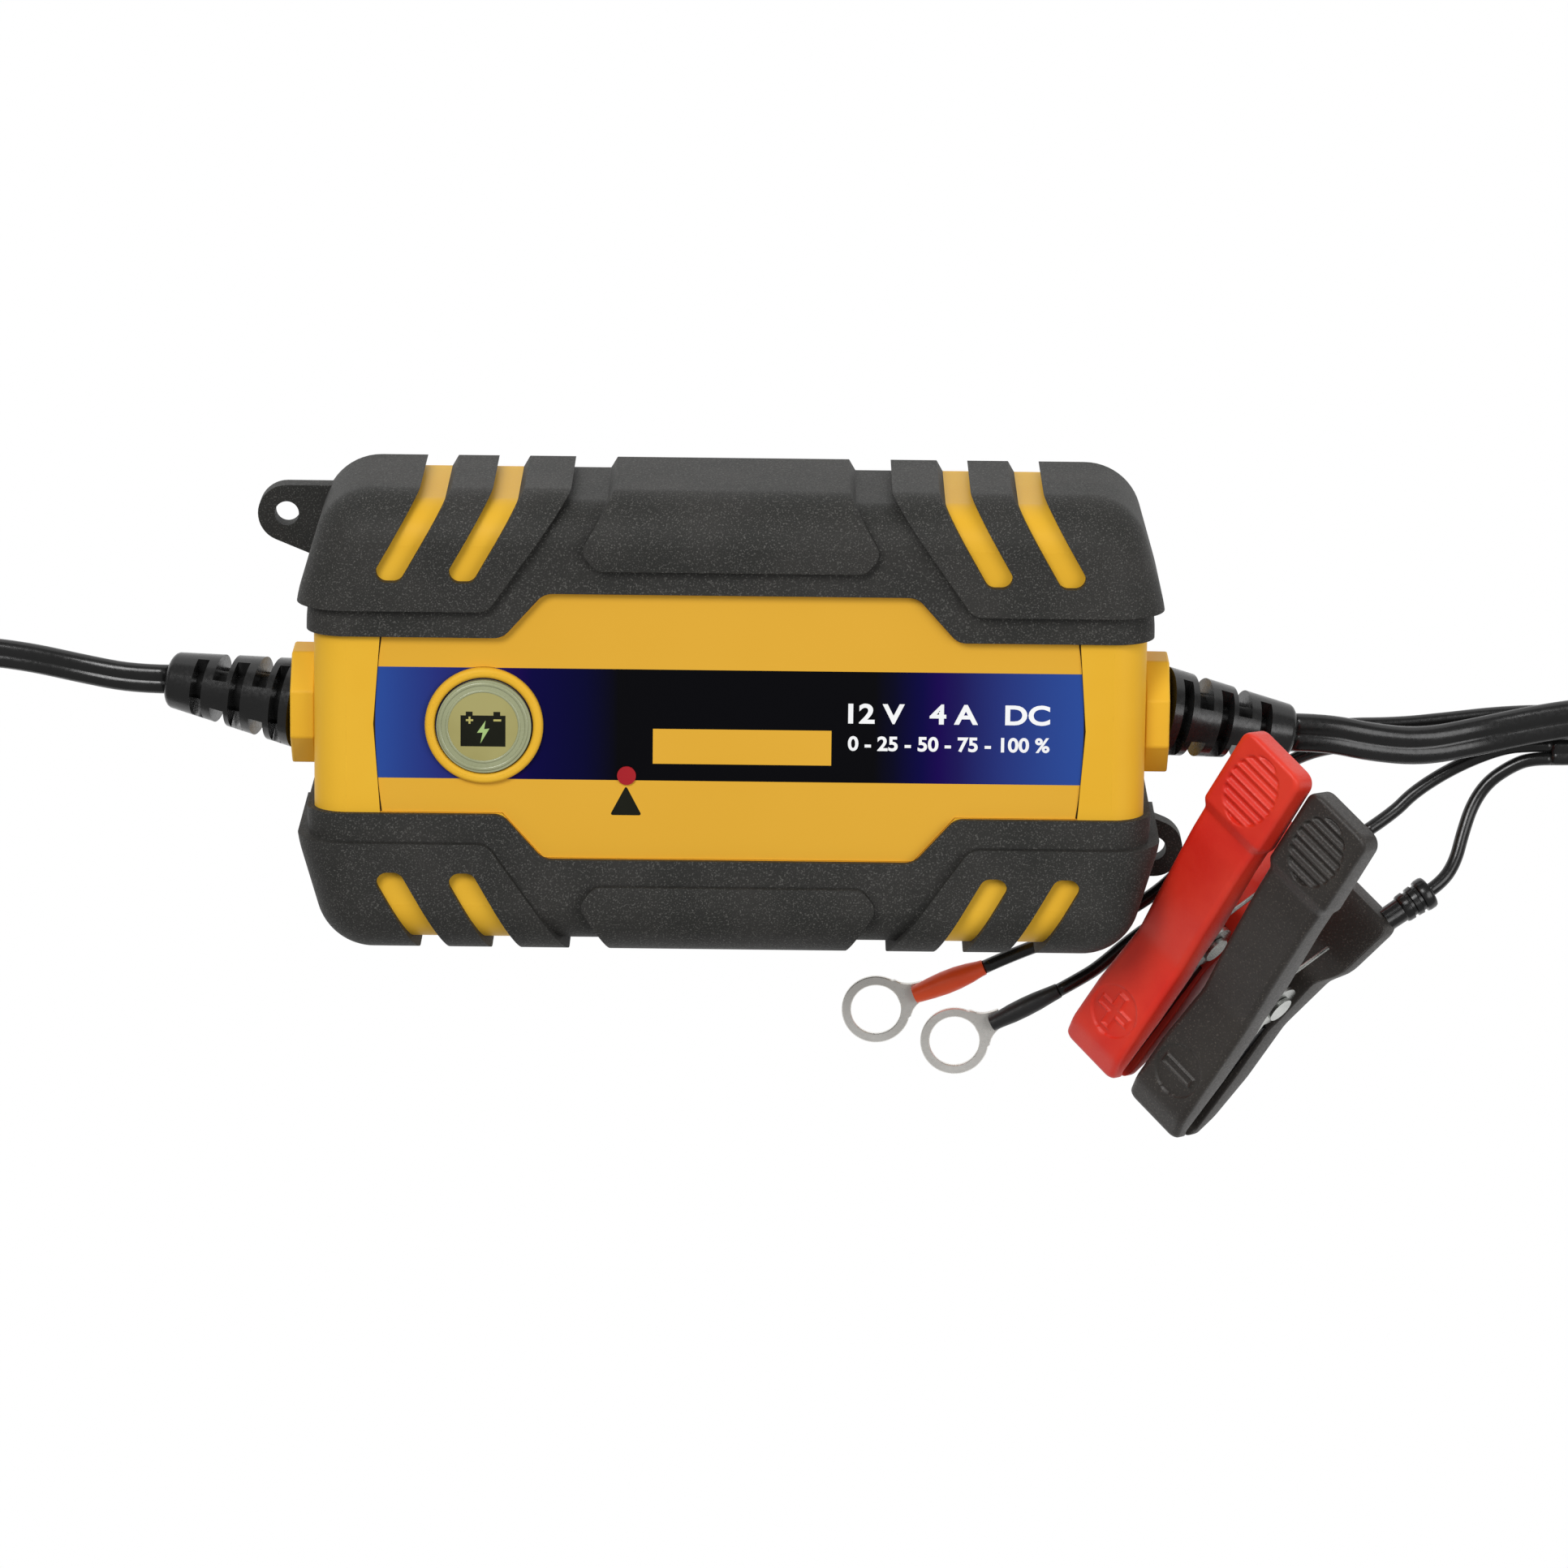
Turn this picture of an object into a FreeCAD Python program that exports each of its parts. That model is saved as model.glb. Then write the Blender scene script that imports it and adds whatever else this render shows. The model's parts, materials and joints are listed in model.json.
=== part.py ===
import FreeCAD, Part
import math
import os
import re

import Sketcher

# A car battery charger with its cords, a pair of battery clamps and a pair of ring terminals.
# Millimetres. The charger lies on its back: +Z is the way its front faces, +Y is its top edge.

V = FreeCAD.Vector
document = FreeCAD.newDocument("battery_charger")
sheet = document.addObject("Spreadsheet::Sheet", "Sizes")

SIZES = [
    # Casing and bumpers
    ("body_wide", 172.4, "housing across its two end walls"),
    ("body_tall", 90.0, "housing from top to bottom under the bumpers"),
    ("body_deep", 40.6, "back face to the front rim"),
    ("end_taper", 7.1, "how far each end leans in towards the corners"),
    ("shoulder_up", 24.6, "where the end wall starts to lean, above the middle line"),
    ("corner_round", 8.4, "corner radius of the housing"),
    ("shoulder_round", 30.0, "radius of the soft corner at the shoulder"),
    ("front_round", 7.0, "radius along the front edge of the housing"),
    ("wall", 2.2, "housing wall"),
    ("cover_thick", 2.4, "back cover plate"),
    ("cover_play", 0.15, "gap around the back cover"),
    ("ledge", 1.6, "step that the back cover rests on"),
    ("seal_thick", 0.6, "flat seal under the back cover"),
    ("label_recess", 0.8, "depth of the panel on the front"),
    ("label_thick", 0.3, "printed film"),
    ("label_play", 0.1, "gap between film and panel edge"),
    ("label_in", 12.6, "film from the housing's end"),
    ("label_bow", 1.4, "how much shorter the film is at its end corners"),
    ("bumper_skin", 1.5, "thin layer of the bumpers"),
    ("rib_rise", 2.3, "ribs and pads above the thin layer"),
    ("flange_edge", 18.75, "inner edge of a bumper at the ends, from the middle line"),
    ("centre_edge", 28.2, "inner edge of a bumper at its middle, from the middle line"),
    ("flange_in", 39.3, "wide end of a bumper, from the housing's end"),
    ("centre_in", 47.8, "where the narrow middle of a bumper starts, from the housing's end"),
    ("edge_round", 4.0, "corner radius on the bumpers' inner edges"),
    ("rib_foot_in", 36.2, "inner corner of the ribbed end of a bumper, from the housing's end"),
    ("rib_head_in", 53.2, "the same at the outer wall"),
    ("pad_head", 24.3, "half width of the centre pad at the outer wall"),
    ("pad_side", 31.0, "half width of the centre pad at its widest"),
    ("pad_side_up", 37.4, "where the centre pad is widest, from the middle line"),
    ("pad_foot", 27.6, "half width of the centre pad at its inner edge"),
    ("pad_low", 33.4, "inner edge of the centre pad, from the middle line"),
    ("pad_round", 3.0, "corner radius of the centre pad"),
    ("slot_wide", 6.4, "slots that bare the housing"),
    ("slot_low", 30.7, "inner end of the slots, from the middle line"),
    ("slot_lean", 10.3, "how far a slot runs outwards on its way in"),
    ("slot_round", 2.2, "corner radius of a slot's end"),
    ("slot_in", 25.3, "outer slot at the outer wall, from the housing's end"),
    ("slot_step", 15.0, "from one slot to the next"),
    ("ear_bore", 5.1, "hole in a mounting ear"),
    ("ear_round", 6.05, "outer radius of a mounting ear"),
    ("ear_thick", 5.8, "mounting ear from the back face"),
    ("ear_slant", 24.3, "slope of an ear's web in degrees"),
    ("left_ear_beyond", 7.4, "left ear hole beyond the housing's end"),
    ("left_ear_up", 37.0, "left ear hole above the middle line"),
    ("right_ear_beyond", 3.8, "right ear hole beyond the housing's end"),
    ("right_ear_down", 33.4, "right ear hole below the middle line"),
    ("ear_root", 12.0, "how far an ear's web reaches in"),
    # Fasteners
    ("screw_shank", 3.0, "case screw"),
    ("screw_head", 5.6, "case screw head"),
    ("screw_head_thick", 1.6, "case screw head"),
    ("screw_long", 13.0, "case screw under its head"),
    ("screw_sunk", 0.3, "screw head below the back face"),
    ("screw_play", 0.05, "screw to its hole"),
    ("screw_in", 17.2, "case screws from the housing's ends"),
    ("screw_down", 10.0, "case screws from the housing's long sides"),
    ("boss_round", 3.8, "screw boss radius"),
    # Front panel pieces
    ("button_in", 35.5, "button from the housing's left end"),
    ("button_wide", 19.6, "button diameter"),
    ("button_play", 0.3, "gap around the button"),
    ("button_proud", 1.7, "button above the printed film"),
    ("button_lip", 1.1, "flange that keeps the button in"),
    ("button_lip_thick", 1.2, "flange thickness"),
    ("button_skin", 1.6, "wall of the button"),
    ("button_travel", 0.8, "how far the button can be pressed"),
    ("button_seat", 0.05, "gap between the flange and the panel"),
    ("symbol_wide", 14.8, "printed disc in the button"),
    ("symbol_thick", 0.5, "printed disc in the button"),
    ("bezel_wide", 24.5, "ring around the button"),
    ("bezel_proud", 1.5, "ring above the printed film"),
    ("bezel_round", 0.9, "rounding of the ring"),
    ("lamp_step", 29.5, "fault lamp right of the button"),
    ("lamp_down", 10.4, "fault lamp below the middle line"),
    ("lamp_wide", 3.9, "fault lamp lens"),
    ("lamp_play", 0.05, "lens to its hole"),
    ("lamp_lip", 1.0, "flange of the lens"),
    ("lamp_proud", 0.5, "lens above the film"),
    # Display board behind the panel
    ("display_wide", 54.0, "display board"),
    ("display_tall", 34.0, "display board"),
    ("display_step", 10.7, "middle of the display board right of the button"),
    ("board_thick", 1.6, "both circuit boards"),
    ("display_back", 5.6, "display board's front face behind the panel's inner face"),
    ("post_wide", 5.0, "posts that carry the display board"),
    ("pin_wide", 2.4, "pin of a post through the board"),
    ("post_inset", 3.6, "posts from the board's edges"),
    ("switch_wide", 6.0, "push switch"),
    ("switch_tall", 3.2, "push switch"),
    ("plunger_wide", 3.4, "moving plunger of the switch"),
    ("plunger_play", 0.06, "plunger to its bore"),
    ("plunger_sunk", 1.6, "plunger inside the switch at rest"),
    ("led_wide", 2.4, "small lamps on the display board"),
    ("led_tall", 2.4, "small lamps on the display board"),
    ("led_out", 5.6, "small lamps either side of the switch"),
    # Main board and what it carries
    ("main_wide", 124.0, "main board"),
    ("main_tall", 70.0, "main board"),
    ("main_up", 9.0, "main board above the back face"),
    ("stand_wide", 6.4, "posts under the main board"),
    ("stand_inset", 4.5, "posts from the board's edges"),
    ("stand_pin", 2.8, "pin of a post through the board"),
    ("core_wide", 34.0, "transformer core"),
    ("core_deep", 13.0, "transformer core"),
    ("core_tall", 24.0, "transformer core"),
    ("core_limb", 6.0, "limbs of the core"),
    ("core_out", 6.0, "transformer right of the middle"),
    ("bobbin_deep", 26.0, "winding over its length"),
    ("capacitor_wide", 14.0, "filter capacitors"),
    ("capacitor_tall", 22.0, "filter capacitors"),
    ("capacitor_out", 34.0, "filter capacitors right of the middle"),
    ("capacitor_step", 15.0, "from one capacitor to the next"),
    ("sink_wide", 46.0, "heat sink"),
    ("sink_tall", 22.0, "heat sink"),
    ("sink_back", 2.0, "heat sink's plate"),
    ("sink_fin", 5.0, "heat sink's fins"),
    ("fin_thick", 1.2, "heat sink's fins"),
    ("fin_count", 8, "heat sink's fins"),
    ("sink_down", 26.0, "heat sink below the middle line"),
    ("sink_out", 4.0, "heat sink right of the middle"),
    ("chip_wide", 10.0, "power transistors"),
    ("chip_tall", 15.0, "power transistors"),
    ("chip_thick", 4.4, "power transistors"),
    ("chip_step", 16.0, "from one transistor to the next"),
    ("fuse_wide", 5.2, "mains fuse"),
    ("fuse_long", 20.0, "mains fuse"),
    ("fuse_out", 48.0, "mains fuse left of the middle"),
    ("fuse_up", 20.0, "mains fuse above the middle line"),
    ("choke_wide", 16.0, "line choke"),
    ("choke_bore", 7.0, "line choke"),
    ("choke_tall", 9.0, "line choke"),
    ("choke_out", 46.0, "line choke left of the middle"),
    ("choke_down", 4.0, "line choke below the middle line"),
    # Where the two cords enter
    ("gland_across", 23.7, "octagonal collar across its flats"),
    ("gland_thick", 5.1, "octagonal collar outside the wall"),
    ("gland_up", 21.0, "collars and cord exits above the back face"),
    ("gland_neck", 16.0, "collar's neck through the wall"),
    ("gland_inside", 1.8, "collar's neck inside the wall"),
    ("gland_play", 0.05, "collar's neck to its hole"),
    ("relief_bore", 11.0, "strain relief through the collar"),
    ("relief_long", 25.9, "strain relief outside the collar"),
    ("relief_root_wide", 18.4, "strain relief at its root"),
    ("relief_tip_wide", 11.4, "strain relief at its tip"),
    ("relief_root_thick", 12.6, "strain relief at its root, front to back"),
    ("relief_tip_thick", 8.4, "strain relief at its tip, front to back"),
    ("relief_core_less", 4.6, "core of the strain relief, narrower by this"),
    ("relief_notch", 2.1, "notch between the blocks"),
    ("relief_drop", 6.6, "tip of the strain relief below its root"),
    ("mains_relief_side", 3.0, "tip of the mains strain relief towards the top"),
    ("output_relief_side", -5.7, "tip of the output strain relief towards the top"),
    # Cords
    ("mains_cord_wide", 6.2, "flat mains cord"),
    ("mains_cord_thick", 3.4, "flat mains cord"),
    ("lead_wide", 8.2, "flat two-core lead"),
    ("lead_thick", 4.1, "flat output lead of two cores"),
    ("harness_wide", 5.8, "flat twin lead of the clamp harness"),
    ("harness_thick", 2.9, "flat twin lead, and each single lead, of a harness"),
    ("coil_gap", 0.55, "between neighbouring turns of a coil"),
    ("mains_coil_round", 46.0, "radius of the mains coil, middle of its outermost turn"),
    ("mains_tail", 54.0, "straight run from the mains coil to the plug"),
    ("output_coil_round", 50.0, "radius of the output coil, middle of its outermost turn"),
    ("plug_long", 30.0, "mains plug body"),
    ("plug_neck", 17.0, "mains plug's tapered neck"),
    ("plug_wide", 25.0, "mains plug body"),
    ("plug_thick", 18.0, "mains plug body"),
    ("blade_long", 17.0, "plug blades"),
    ("blade_wide", 6.3, "plug blades"),
    ("blade_thick", 1.5, "plug blades"),
    ("blade_pitch", 12.7, "between the plug blades"),
    ("connector_long", 21.0, "quick connector half"),
    ("connector_wide", 15.0, "quick connector half"),
    ("connector_thick", 9.6, "quick connector half"),
    ("contact_wide", 4.0, "quick connector contacts"),
    ("contact_pitch", 7.0, "between the contacts"),
    ("contact_long", 6.0, "quick connector contacts"),
    ("ring_wide", 15.4, "ring terminal"),
    ("ring_bore", 10.6, "ring terminal, for a 3/8 inch stud"),
    ("ring_thick", 1.2, "ring terminal"),
    ("ring_neck", 5.2, "ring terminal's neck"),
    ("sleeve_wide", 6.2, "insulating sleeve of a ring terminal"),
    ("ring_reach", 8.95, "ring centre to its sleeve"),
    ("sleeve_long", 16.0, "insulating sleeve of a ring terminal"),
    # Battery clamps
    ("clamp_wide", 17.2, "clamp across its handles"),
    ("clamp_waist", 14.6, "clamp across its waist"),
    ("clamp_nose", 14.4, "clamp across its jaw tips"),
    ("jaw_long", 37.0, "pin to jaw tip"),
    ("jaw_deep", 9.4, "jaw cover above the parting line"),
    ("upper_handle", 50.0, "pin to the end of the upper handle"),
    ("lower_handle", 23.0, "pin to the end of the lower handle"),
    ("upper_spread", 22.0, "end of the upper handle above the parting line"),
    ("lower_spread", 25.5, "end of the lower handle below the parting line"),
    ("handle_thick", 6.4, "handles near their ends"),
    ("steel", 1.0, "sheet of the metal jaws"),
    ("jaw_wide", 12.0, "metal jaws outside"),
    ("jaw_side", 2.1, "metal jaw's sides from the parting line"),
    ("jaw_gap", 0.06, "each jaw from the parting line"),
    ("cheek_round", 5.0, "cheeks around the pin"),
    ("cheek_play", 0.15, "between the two pairs of cheeks"),
    ("notch_round", 6.4, "opening of the covers around the pin"),
    ("pin_round", 1.5, "clamp pin"),
    ("pin_play", 0.05, "clamp pin to its bores"),
    ("pin_head", 2.9, "radius of the pin's heads"),
    ("pin_head_thick", 0.9, "heads of the pin"),
    ("spring_wire", 0.9, "clamp spring"),
    ("spring_round", 3.1, "clamp spring, middle of the wire"),
    ("spring_pitch", 1.32, "clamp spring, turn to turn"),
    ("spring_start", 52.0, "where the clamp spring starts, in degrees"),
    ("spring_lower_leg", 16.1, "straight leg of the clamp spring to the lower handle"),
    ("spring_upper_leg", 15.9, "straight leg of the clamp spring to the upper handle"),
    ("boot_side", 5.4, "boot towards the outer side of a clamp's lower handle"),
    ("boot_ahead", 0.9, "direction of a boot along its clamp"),
    ("boot_across", -0.43, "direction of a boot across its clamp, left positive"),
    ("boot_down", -0.25, "direction of a boot, up positive"),
    ("boot_wide", 7.0, "boot where the lead enters a clamp"),
    ("boot_long", 10.0, "boot where the lead enters a clamp"),
    ("clamp_gap", 0.3, "between the two clamps"),
    ("clamp_heading", 57.5, "clamps on the floor, in degrees from +X"),
    ("clamp_roll", 32.0, "clamps leaning over towards the charger, in degrees"),
    ("clamp_pitch", 13.0, "handles raised, in degrees"),
    ("black_clamp_x", 111.8, "pin of the black clamp"),
    ("black_clamp_y", -58.9, "pin of the black clamp"),
    ("clamp_pin_up", 23.6, "pins above the floor"),
    ("clamp_lean", 4.2, "black clamp's pin above the red one, on which it leans"),
    ("clamp_stagger", 2.6, "red clamp further along its length"),
]
for row, (alias, value, note) in enumerate(SIZES, 1):
    sheet.set("A%d" % row, alias)
    sheet.set("B%d" % row, str(value))
    sheet.set("C%d" % row, note)
    sheet.setAlias("B%d" % row, alias)
# Places that follow the housing's ends and sides
PLACES = [
    ("label_half", "body_wide / 2 - label_in", "film from its middle to its end"),
    ("flange_reach", "body_wide / 2 - flange_in", "wide end of a bumper from the middle"),
    ("centre_reach", "body_wide / 2 - centre_in", "narrow middle of a bumper from the middle"),
    ("rib_foot", "body_wide / 2 - rib_foot_in", "ribbed end of a bumper from the middle"),
    ("rib_head", "body_wide / 2 - rib_head_in", "the same at the outer wall"),
    ("outer_slot", "body_wide / 2 - slot_in", "outer slot from the middle"),
    ("inner_slot", "body_wide / 2 - slot_in - slot_step", "inner slot from the middle"),
    ("left_ear_out", "body_wide / 2 + left_ear_beyond", "left ear hole from the middle"),
    ("right_ear_out", "body_wide / 2 + right_ear_beyond", "right ear hole from the middle"),
    ("screw_out", "body_wide / 2 - screw_in", "case screws from the middle"),
    ("screw_up", "body_tall / 2 - screw_down", "case screws from the middle line"),
    ("button_out", "body_wide / 2 - button_in", "button left of the middle"),
    ("lamp_out", "body_wide / 2 - button_in - lamp_step", "fault lamp left of the middle"),
    ("display_out", "body_wide / 2 - button_in - display_step", "display board left of the middle"),
]
for row, (alias, value, note) in enumerate(PLACES, len(SIZES) + 1):
    sheet.set("A%d" % row, alias)
    sheet.set("B%d" % row, "=" + value)
    sheet.set("C%d" % row, note)
    sheet.setAlias("B%d" % row, alias)
document.recompute()
ALIASES = {alias for alias, value, note in SIZES + PLACES}
parts = []


def size(alias):
    """The value of one named size."""
    return float(sheet.get(alias))


def formula(text):
    """A formula in plain size names, as the sheet's own expression."""
    return re.sub(r"[a-z_]+", lambda word: "Sizes." + word.group(0) if word.group(0) in ALIASES
                  else word.group(0), text)


def bind(thing, **formulas):
    """Drives an object's properties from the sheet; a double underscore stands for a dot."""
    for prop, text in formulas.items():
        thing.setExpression(prop.replace("__", "."), formula(text))
    return thing


def at(thing, x="0", y="0", z="0"):
    """Drives where an object stands."""
    return bind(thing, Placement__Base__x=x, Placement__Base__y=y, Placement__Base__z=z)


def block(name, long, wide, tall, x="0", y="0", z="0"):
    """A box centred on x and y that stands on z."""
    box = bind(document.addObject("Part::Box", name), Length=long, Width=wide, Height=tall)
    return at(box, "(%s) - (%s) / 2" % (x, long), "(%s) - (%s) / 2" % (y, wide), z)


TURNS = {"z": FreeCAD.Rotation(), "x": FreeCAD.Rotation(V(0, 1, 0), 90),
         "y": FreeCAD.Rotation(V(1, 0, 0), -90)}


def rod(name, radius, long, x="0", y="0", z="0", axis="z"):
    """A cylinder that starts at a point and runs along +X, +Y or +Z."""
    cylinder = bind(document.addObject("Part::Cylinder", name), Radius=radius, Height=long)
    cylinder.Placement = FreeCAD.Placement(V(), TURNS[axis])
    return at(cylinder, x, y, z)


def fuse(name, *shapes):
    both = document.addObject("Part::MultiFuse", name)
    both.Shapes = list(shapes)
    return both


def cut(name, base, *tools):
    less = document.addObject("Part::Cut", name)
    less.Base = base
    less.Tool = tools[0] if len(tools) == 1 else fuse(name + "_tools", *tools)
    return less


def common(name, *shapes):
    shared = document.addObject("Part::MultiCommon", name)
    shared.Shapes = list(shapes)
    return shared


def outline(body, plane, points, lift="0"):
    """A closed sketch whose corners are formulas, on one of the body's own planes."""
    sketch = body.newObject("Sketcher::SketchObject", "outline")
    base = next(feature for feature in body.Origin.OriginFeatures if feature.Role == plane)
    sketch.AttachmentSupport = [(base, "")]
    sketch.MapMode = "FlatFace"
    bind(sketch, AttachmentOffset__Base__z=lift)
    count = len(points)
    ring = [V(10 * math.cos(2 * math.pi * k / count), 10 * math.sin(2 * math.pi * k / count), 0)
            for k in range(count)]
    for k in range(count):
        sketch.addGeometry(Part.LineSegment(ring[k], ring[(k + 1) % count]), False)
    for k in range(count):
        sketch.addConstraint(Sketcher.Constraint("Coincident", k, 2, (k + 1) % count, 1))
    for k, place in enumerate(points):
        for kind, text in zip(("DistanceX", "DistanceY"), place):
            index = sketch.addConstraint(Sketcher.Constraint(kind, -1, 1, k, 1, 1.0 + k))
            sketch.setExpression("Constraints[%d]" % index, formula(text))
    return sketch


def prism(name, plane, points, long, lift="0", middle=False):
    """A body padded from an outline: XY_Plane up, XZ_Plane towards -Y, YZ_Plane along +X."""
    body = document.addObject("PartDesign::Body", name)
    sketch = outline(body, plane, points, lift)
    pad = body.newObject("PartDesign::Pad", name + "_pad")
    pad.Profile = sketch
    pad.SideType = "Symmetric" if middle else "One side"
    bind(pad, Length=long)
    document.recompute()
    return body


def edges_where(shape, test):
    """Names of the edges that pass a test on their two end points."""
    names = []
    for number, edge in enumerate(shape.Edges, 1):
        ends = [vertex.Point for vertex in edge.Vertexes]
        if len(ends) == 2 and test(ends[0], ends[1]):
            names.append("Edge%d" % number)
    return names


def round_edges(body, name, test, radius):
    """Rounds the chosen edges of a body's last feature."""
    last = body.Tip
    fillet = body.newObject("PartDesign::Fillet", name)
    fillet.Base = (last, edges_where(last.Shape, test))
    bind(fillet, Radius=radius)
    document.recompute()
    return body


def upright(a, b):
    """Whether an edge stands along Z."""
    return abs(a.x - b.x) < 1e-4 and abs(a.y - b.y) < 1e-4


def near(point, x, y):
    """Whether a point is over a place in plan."""
    return abs(abs(point.x) - x) < 1e-3 and abs(abs(point.y) - y) < 1e-3


def keep(label, thing):
    """Marks an object as a finished piece under its own name."""
    thing.Label = label
    parts.append(thing)
    return thing


def solid(label, shape, placement=None):
    """A piece whose shape is worked out here from the sheet's sizes."""
    feature = document.addObject("Part::Feature", label)
    feature.Shape = shape
    if placement is not None:
        feature.Placement = placement
    return keep(label, feature)


# Casing


def casing_form(name, grow, low, high, front_round=None):
    """The charger's outline, grown all round by some amount, between two heights."""
    end = "body_wide / 2 + (%s)" % grow
    neck = "body_wide / 2 - end_taper + (%s)" % grow
    top = "body_tall / 2 + (%s)" % grow
    corners = [(end, "shoulder_up"), (neck, top), ("-(%s)" % neck, top), ("-(%s)" % end, "shoulder_up"),
               ("-(%s)" % end, "-shoulder_up"), ("-(%s)" % neck, "-(%s)" % top), (neck, "-(%s)" % top),
               (end, "-shoulder_up")]
    body = prism(name, "XY_Plane", corners, "(%s) - (%s)" % (high, low), low)
    reach = max(abs(vertex.Point.y) for vertex in body.Shape.Vertexes)
    round_edges(body, name + "_corners", lambda a, b: upright(a, b) and abs(abs(a.y) - reach) < 1e-3,
                "corner_round + (%s)" % grow)
    shoulder = size("shoulder_up")
    round_edges(body, name + "_shoulders",
                lambda a, b: upright(a, b) and abs(abs(a.y) - shoulder) < 1e-3, "shoulder_round")
    if front_round:
        top_z = body.Shape.BoundBox.ZMax
        round_edges(body, name + "_front",
                    lambda a, b: abs(a.z - top_z) < 1e-3 and abs(b.z - top_z) < 1e-3, front_round)
    return body


THROUGH = "body_deep + 30"
FAR_X = "body_wide / 2 + 30"
FAR_Y = "body_tall / 2 + 30"
OUTER_Y = "body_tall / 2 + bumper_skin + rib_rise"


def zone(name, side, points, rounded=None):
    """An upright prism through the charger; rounded lists the corners that get a radius."""
    turned = [(x, "%d * (%s)" % (side, y)) for x, y in points]
    body = prism(name, "XY_Plane", turned, THROUGH, "-5")
    if rounded:
        places, radius = rounded
        values = [(abs(evaluate(x)), abs(evaluate(y))) for x, y in places]
        round_edges(body, name + "_round",
                    lambda a, b: upright(a, b) and any(near(a, x, y) for x, y in values), radius)
    return body


def evaluate(alias):
    """A plain size name, or its negative, as a number."""
    return -size(alias[1:]) if alias.startswith("-") else size(alias)


housing_form = casing_form("housing_form", "0", "0", "body_deep", "front_round")
skin_form = casing_form("skin_form", "bumper_skin", "0", "body_deep + bumper_skin", "front_round + bumper_skin")
rib_form = casing_form("rib_form", "bumper_skin + rib_rise", "0", "body_deep + bumper_skin + rib_rise",
                       "front_round + bumper_skin + rib_rise")


def bumper_zones(side, word):
    """Where a bumper lies, where it is raised, and its slots."""
    lie = zone(word + "_lie", side, [
        ("-(%s)" % FAR_X, "flange_edge"), ("-flange_reach", "flange_edge"), ("-centre_reach", "centre_edge"),
        ("centre_reach", "centre_edge"), ("flange_reach", "flange_edge"), (FAR_X, "flange_edge"),
        (FAR_X, FAR_Y), ("-(%s)" % FAR_X, FAR_Y)],
        ([("flange_reach", "flange_edge"), ("centre_reach", "centre_edge")], "edge_round"))
    raised = [zone(word + "_pad", side, [
        ("-pad_head", FAR_Y), ("-pad_head", OUTER_Y), ("-pad_side", "pad_side_up"), ("-pad_foot", "pad_low"),
        ("pad_foot", "pad_low"), ("pad_side", "pad_side_up"), ("pad_head", OUTER_Y), ("pad_head", FAR_Y)],
        ([("pad_side", "pad_side_up"), ("pad_foot", "pad_low")], "pad_round"))]
    slots = []
    for hand in (-1, 1):
        flip = lambda x: "%d * (%s)" % (hand, x)
        raised.append(zone("%s_ribs_%d" % (word, hand + 1), side, [
            (flip(FAR_X), "shoulder_up"), (flip("rib_foot"), "shoulder_up"), (flip("rib_head"), OUTER_Y),
            (flip("rib_head"), FAR_Y), (flip(FAR_X), FAR_Y)],
            ([("rib_foot", "shoulder_up")], "edge_round")))
        for start in ("inner_slot", "outer_slot"):
            near_side = "%s - slot_wide / 2" % start
            far_side = "%s + slot_wide / 2" % start
            slot = zone("%s_%s_%d" % (word, start, hand + 1), side, [
                (flip(near_side), FAR_Y), (flip(near_side), OUTER_Y), (flip(near_side + " + slot_lean"), "slot_low"),
                (flip(far_side + " + slot_lean"), "slot_low"), (flip(far_side), OUTER_Y), (flip(far_side), FAR_Y)])
            low = size("slot_low")
            round_edges(slot, slot.Name + "_end",
                        lambda a, b: upright(a, b) and abs(abs(a.y) - low) < 1e-3, "slot_round")
            slots.append(slot)
    return lie, raised, slots


def ear(word, hand, out, up):
    """A mounting ear at the back face: a round eye and a web that widens towards the casing."""
    x = "%d * %s" % (hand, out)
    y = "%d * -1 * %s" % (hand, up)
    web = prism(word + "_web", "XY_Plane", [
        (x, "%s + %d * -1 * ear_round" % (y, hand)),
        ("%s + %d * -1 * ear_root" % (x, hand), "%s + %d * -1 * ear_round" % (y, hand)),
        ("%s + %d * -1 * ear_root" % (x, hand), "%s + %d * (ear_round + ear_root * tan(ear_slant))" % (y, hand)),
        ("%s + %d * ear_round * sin(ear_slant)" % (x, hand), "%s + %d * ear_round * cos(ear_slant)" % (y, hand))],
        "ear_thick")
    eye = rod(word + "_eye", "ear_round", "ear_thick", x, y)
    bore = rod(word + "_bore", "ear_bore / 2", "ear_thick + 2", x, y, "-1")
    return fuse(word + "_body", web, eye), bore


slot_ridges = []
for side, label, hand, out, up in ((1, "upper_bumper", -1, "left_ear_out", "left_ear_up"),
                                   (-1, "lower_bumper", 1, "right_ear_out", "right_ear_down")):
    lie, raised, slots = bumper_zones(side, label)
    skin = common(label + "_skin", skin_form, lie)
    ribs = common(label + "_ribs", rib_form, fuse(label + "_raised", *raised))
    ear_body, ear_bore = ear(label + "_ear", hand, out, up)
    cushion = cut(label + "_slotted", fuse(label + "_blank", skin, ribs), fuse(label + "_slots", *slots))
    keep(label, cut(label + "_bumper", fuse(label + "_with_ear", cushion, ear_body), housing_form, ear_bore))
    slot_ridges.append(common(label + "_ridges", skin, fuse(label + "_slot_fill", *slots)))

PANEL_Z = "body_deep - label_recess"
PANEL_BACK = "body_deep - label_recess - wall"
COVER_TOP = "cover_thick + seal_thick"


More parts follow.
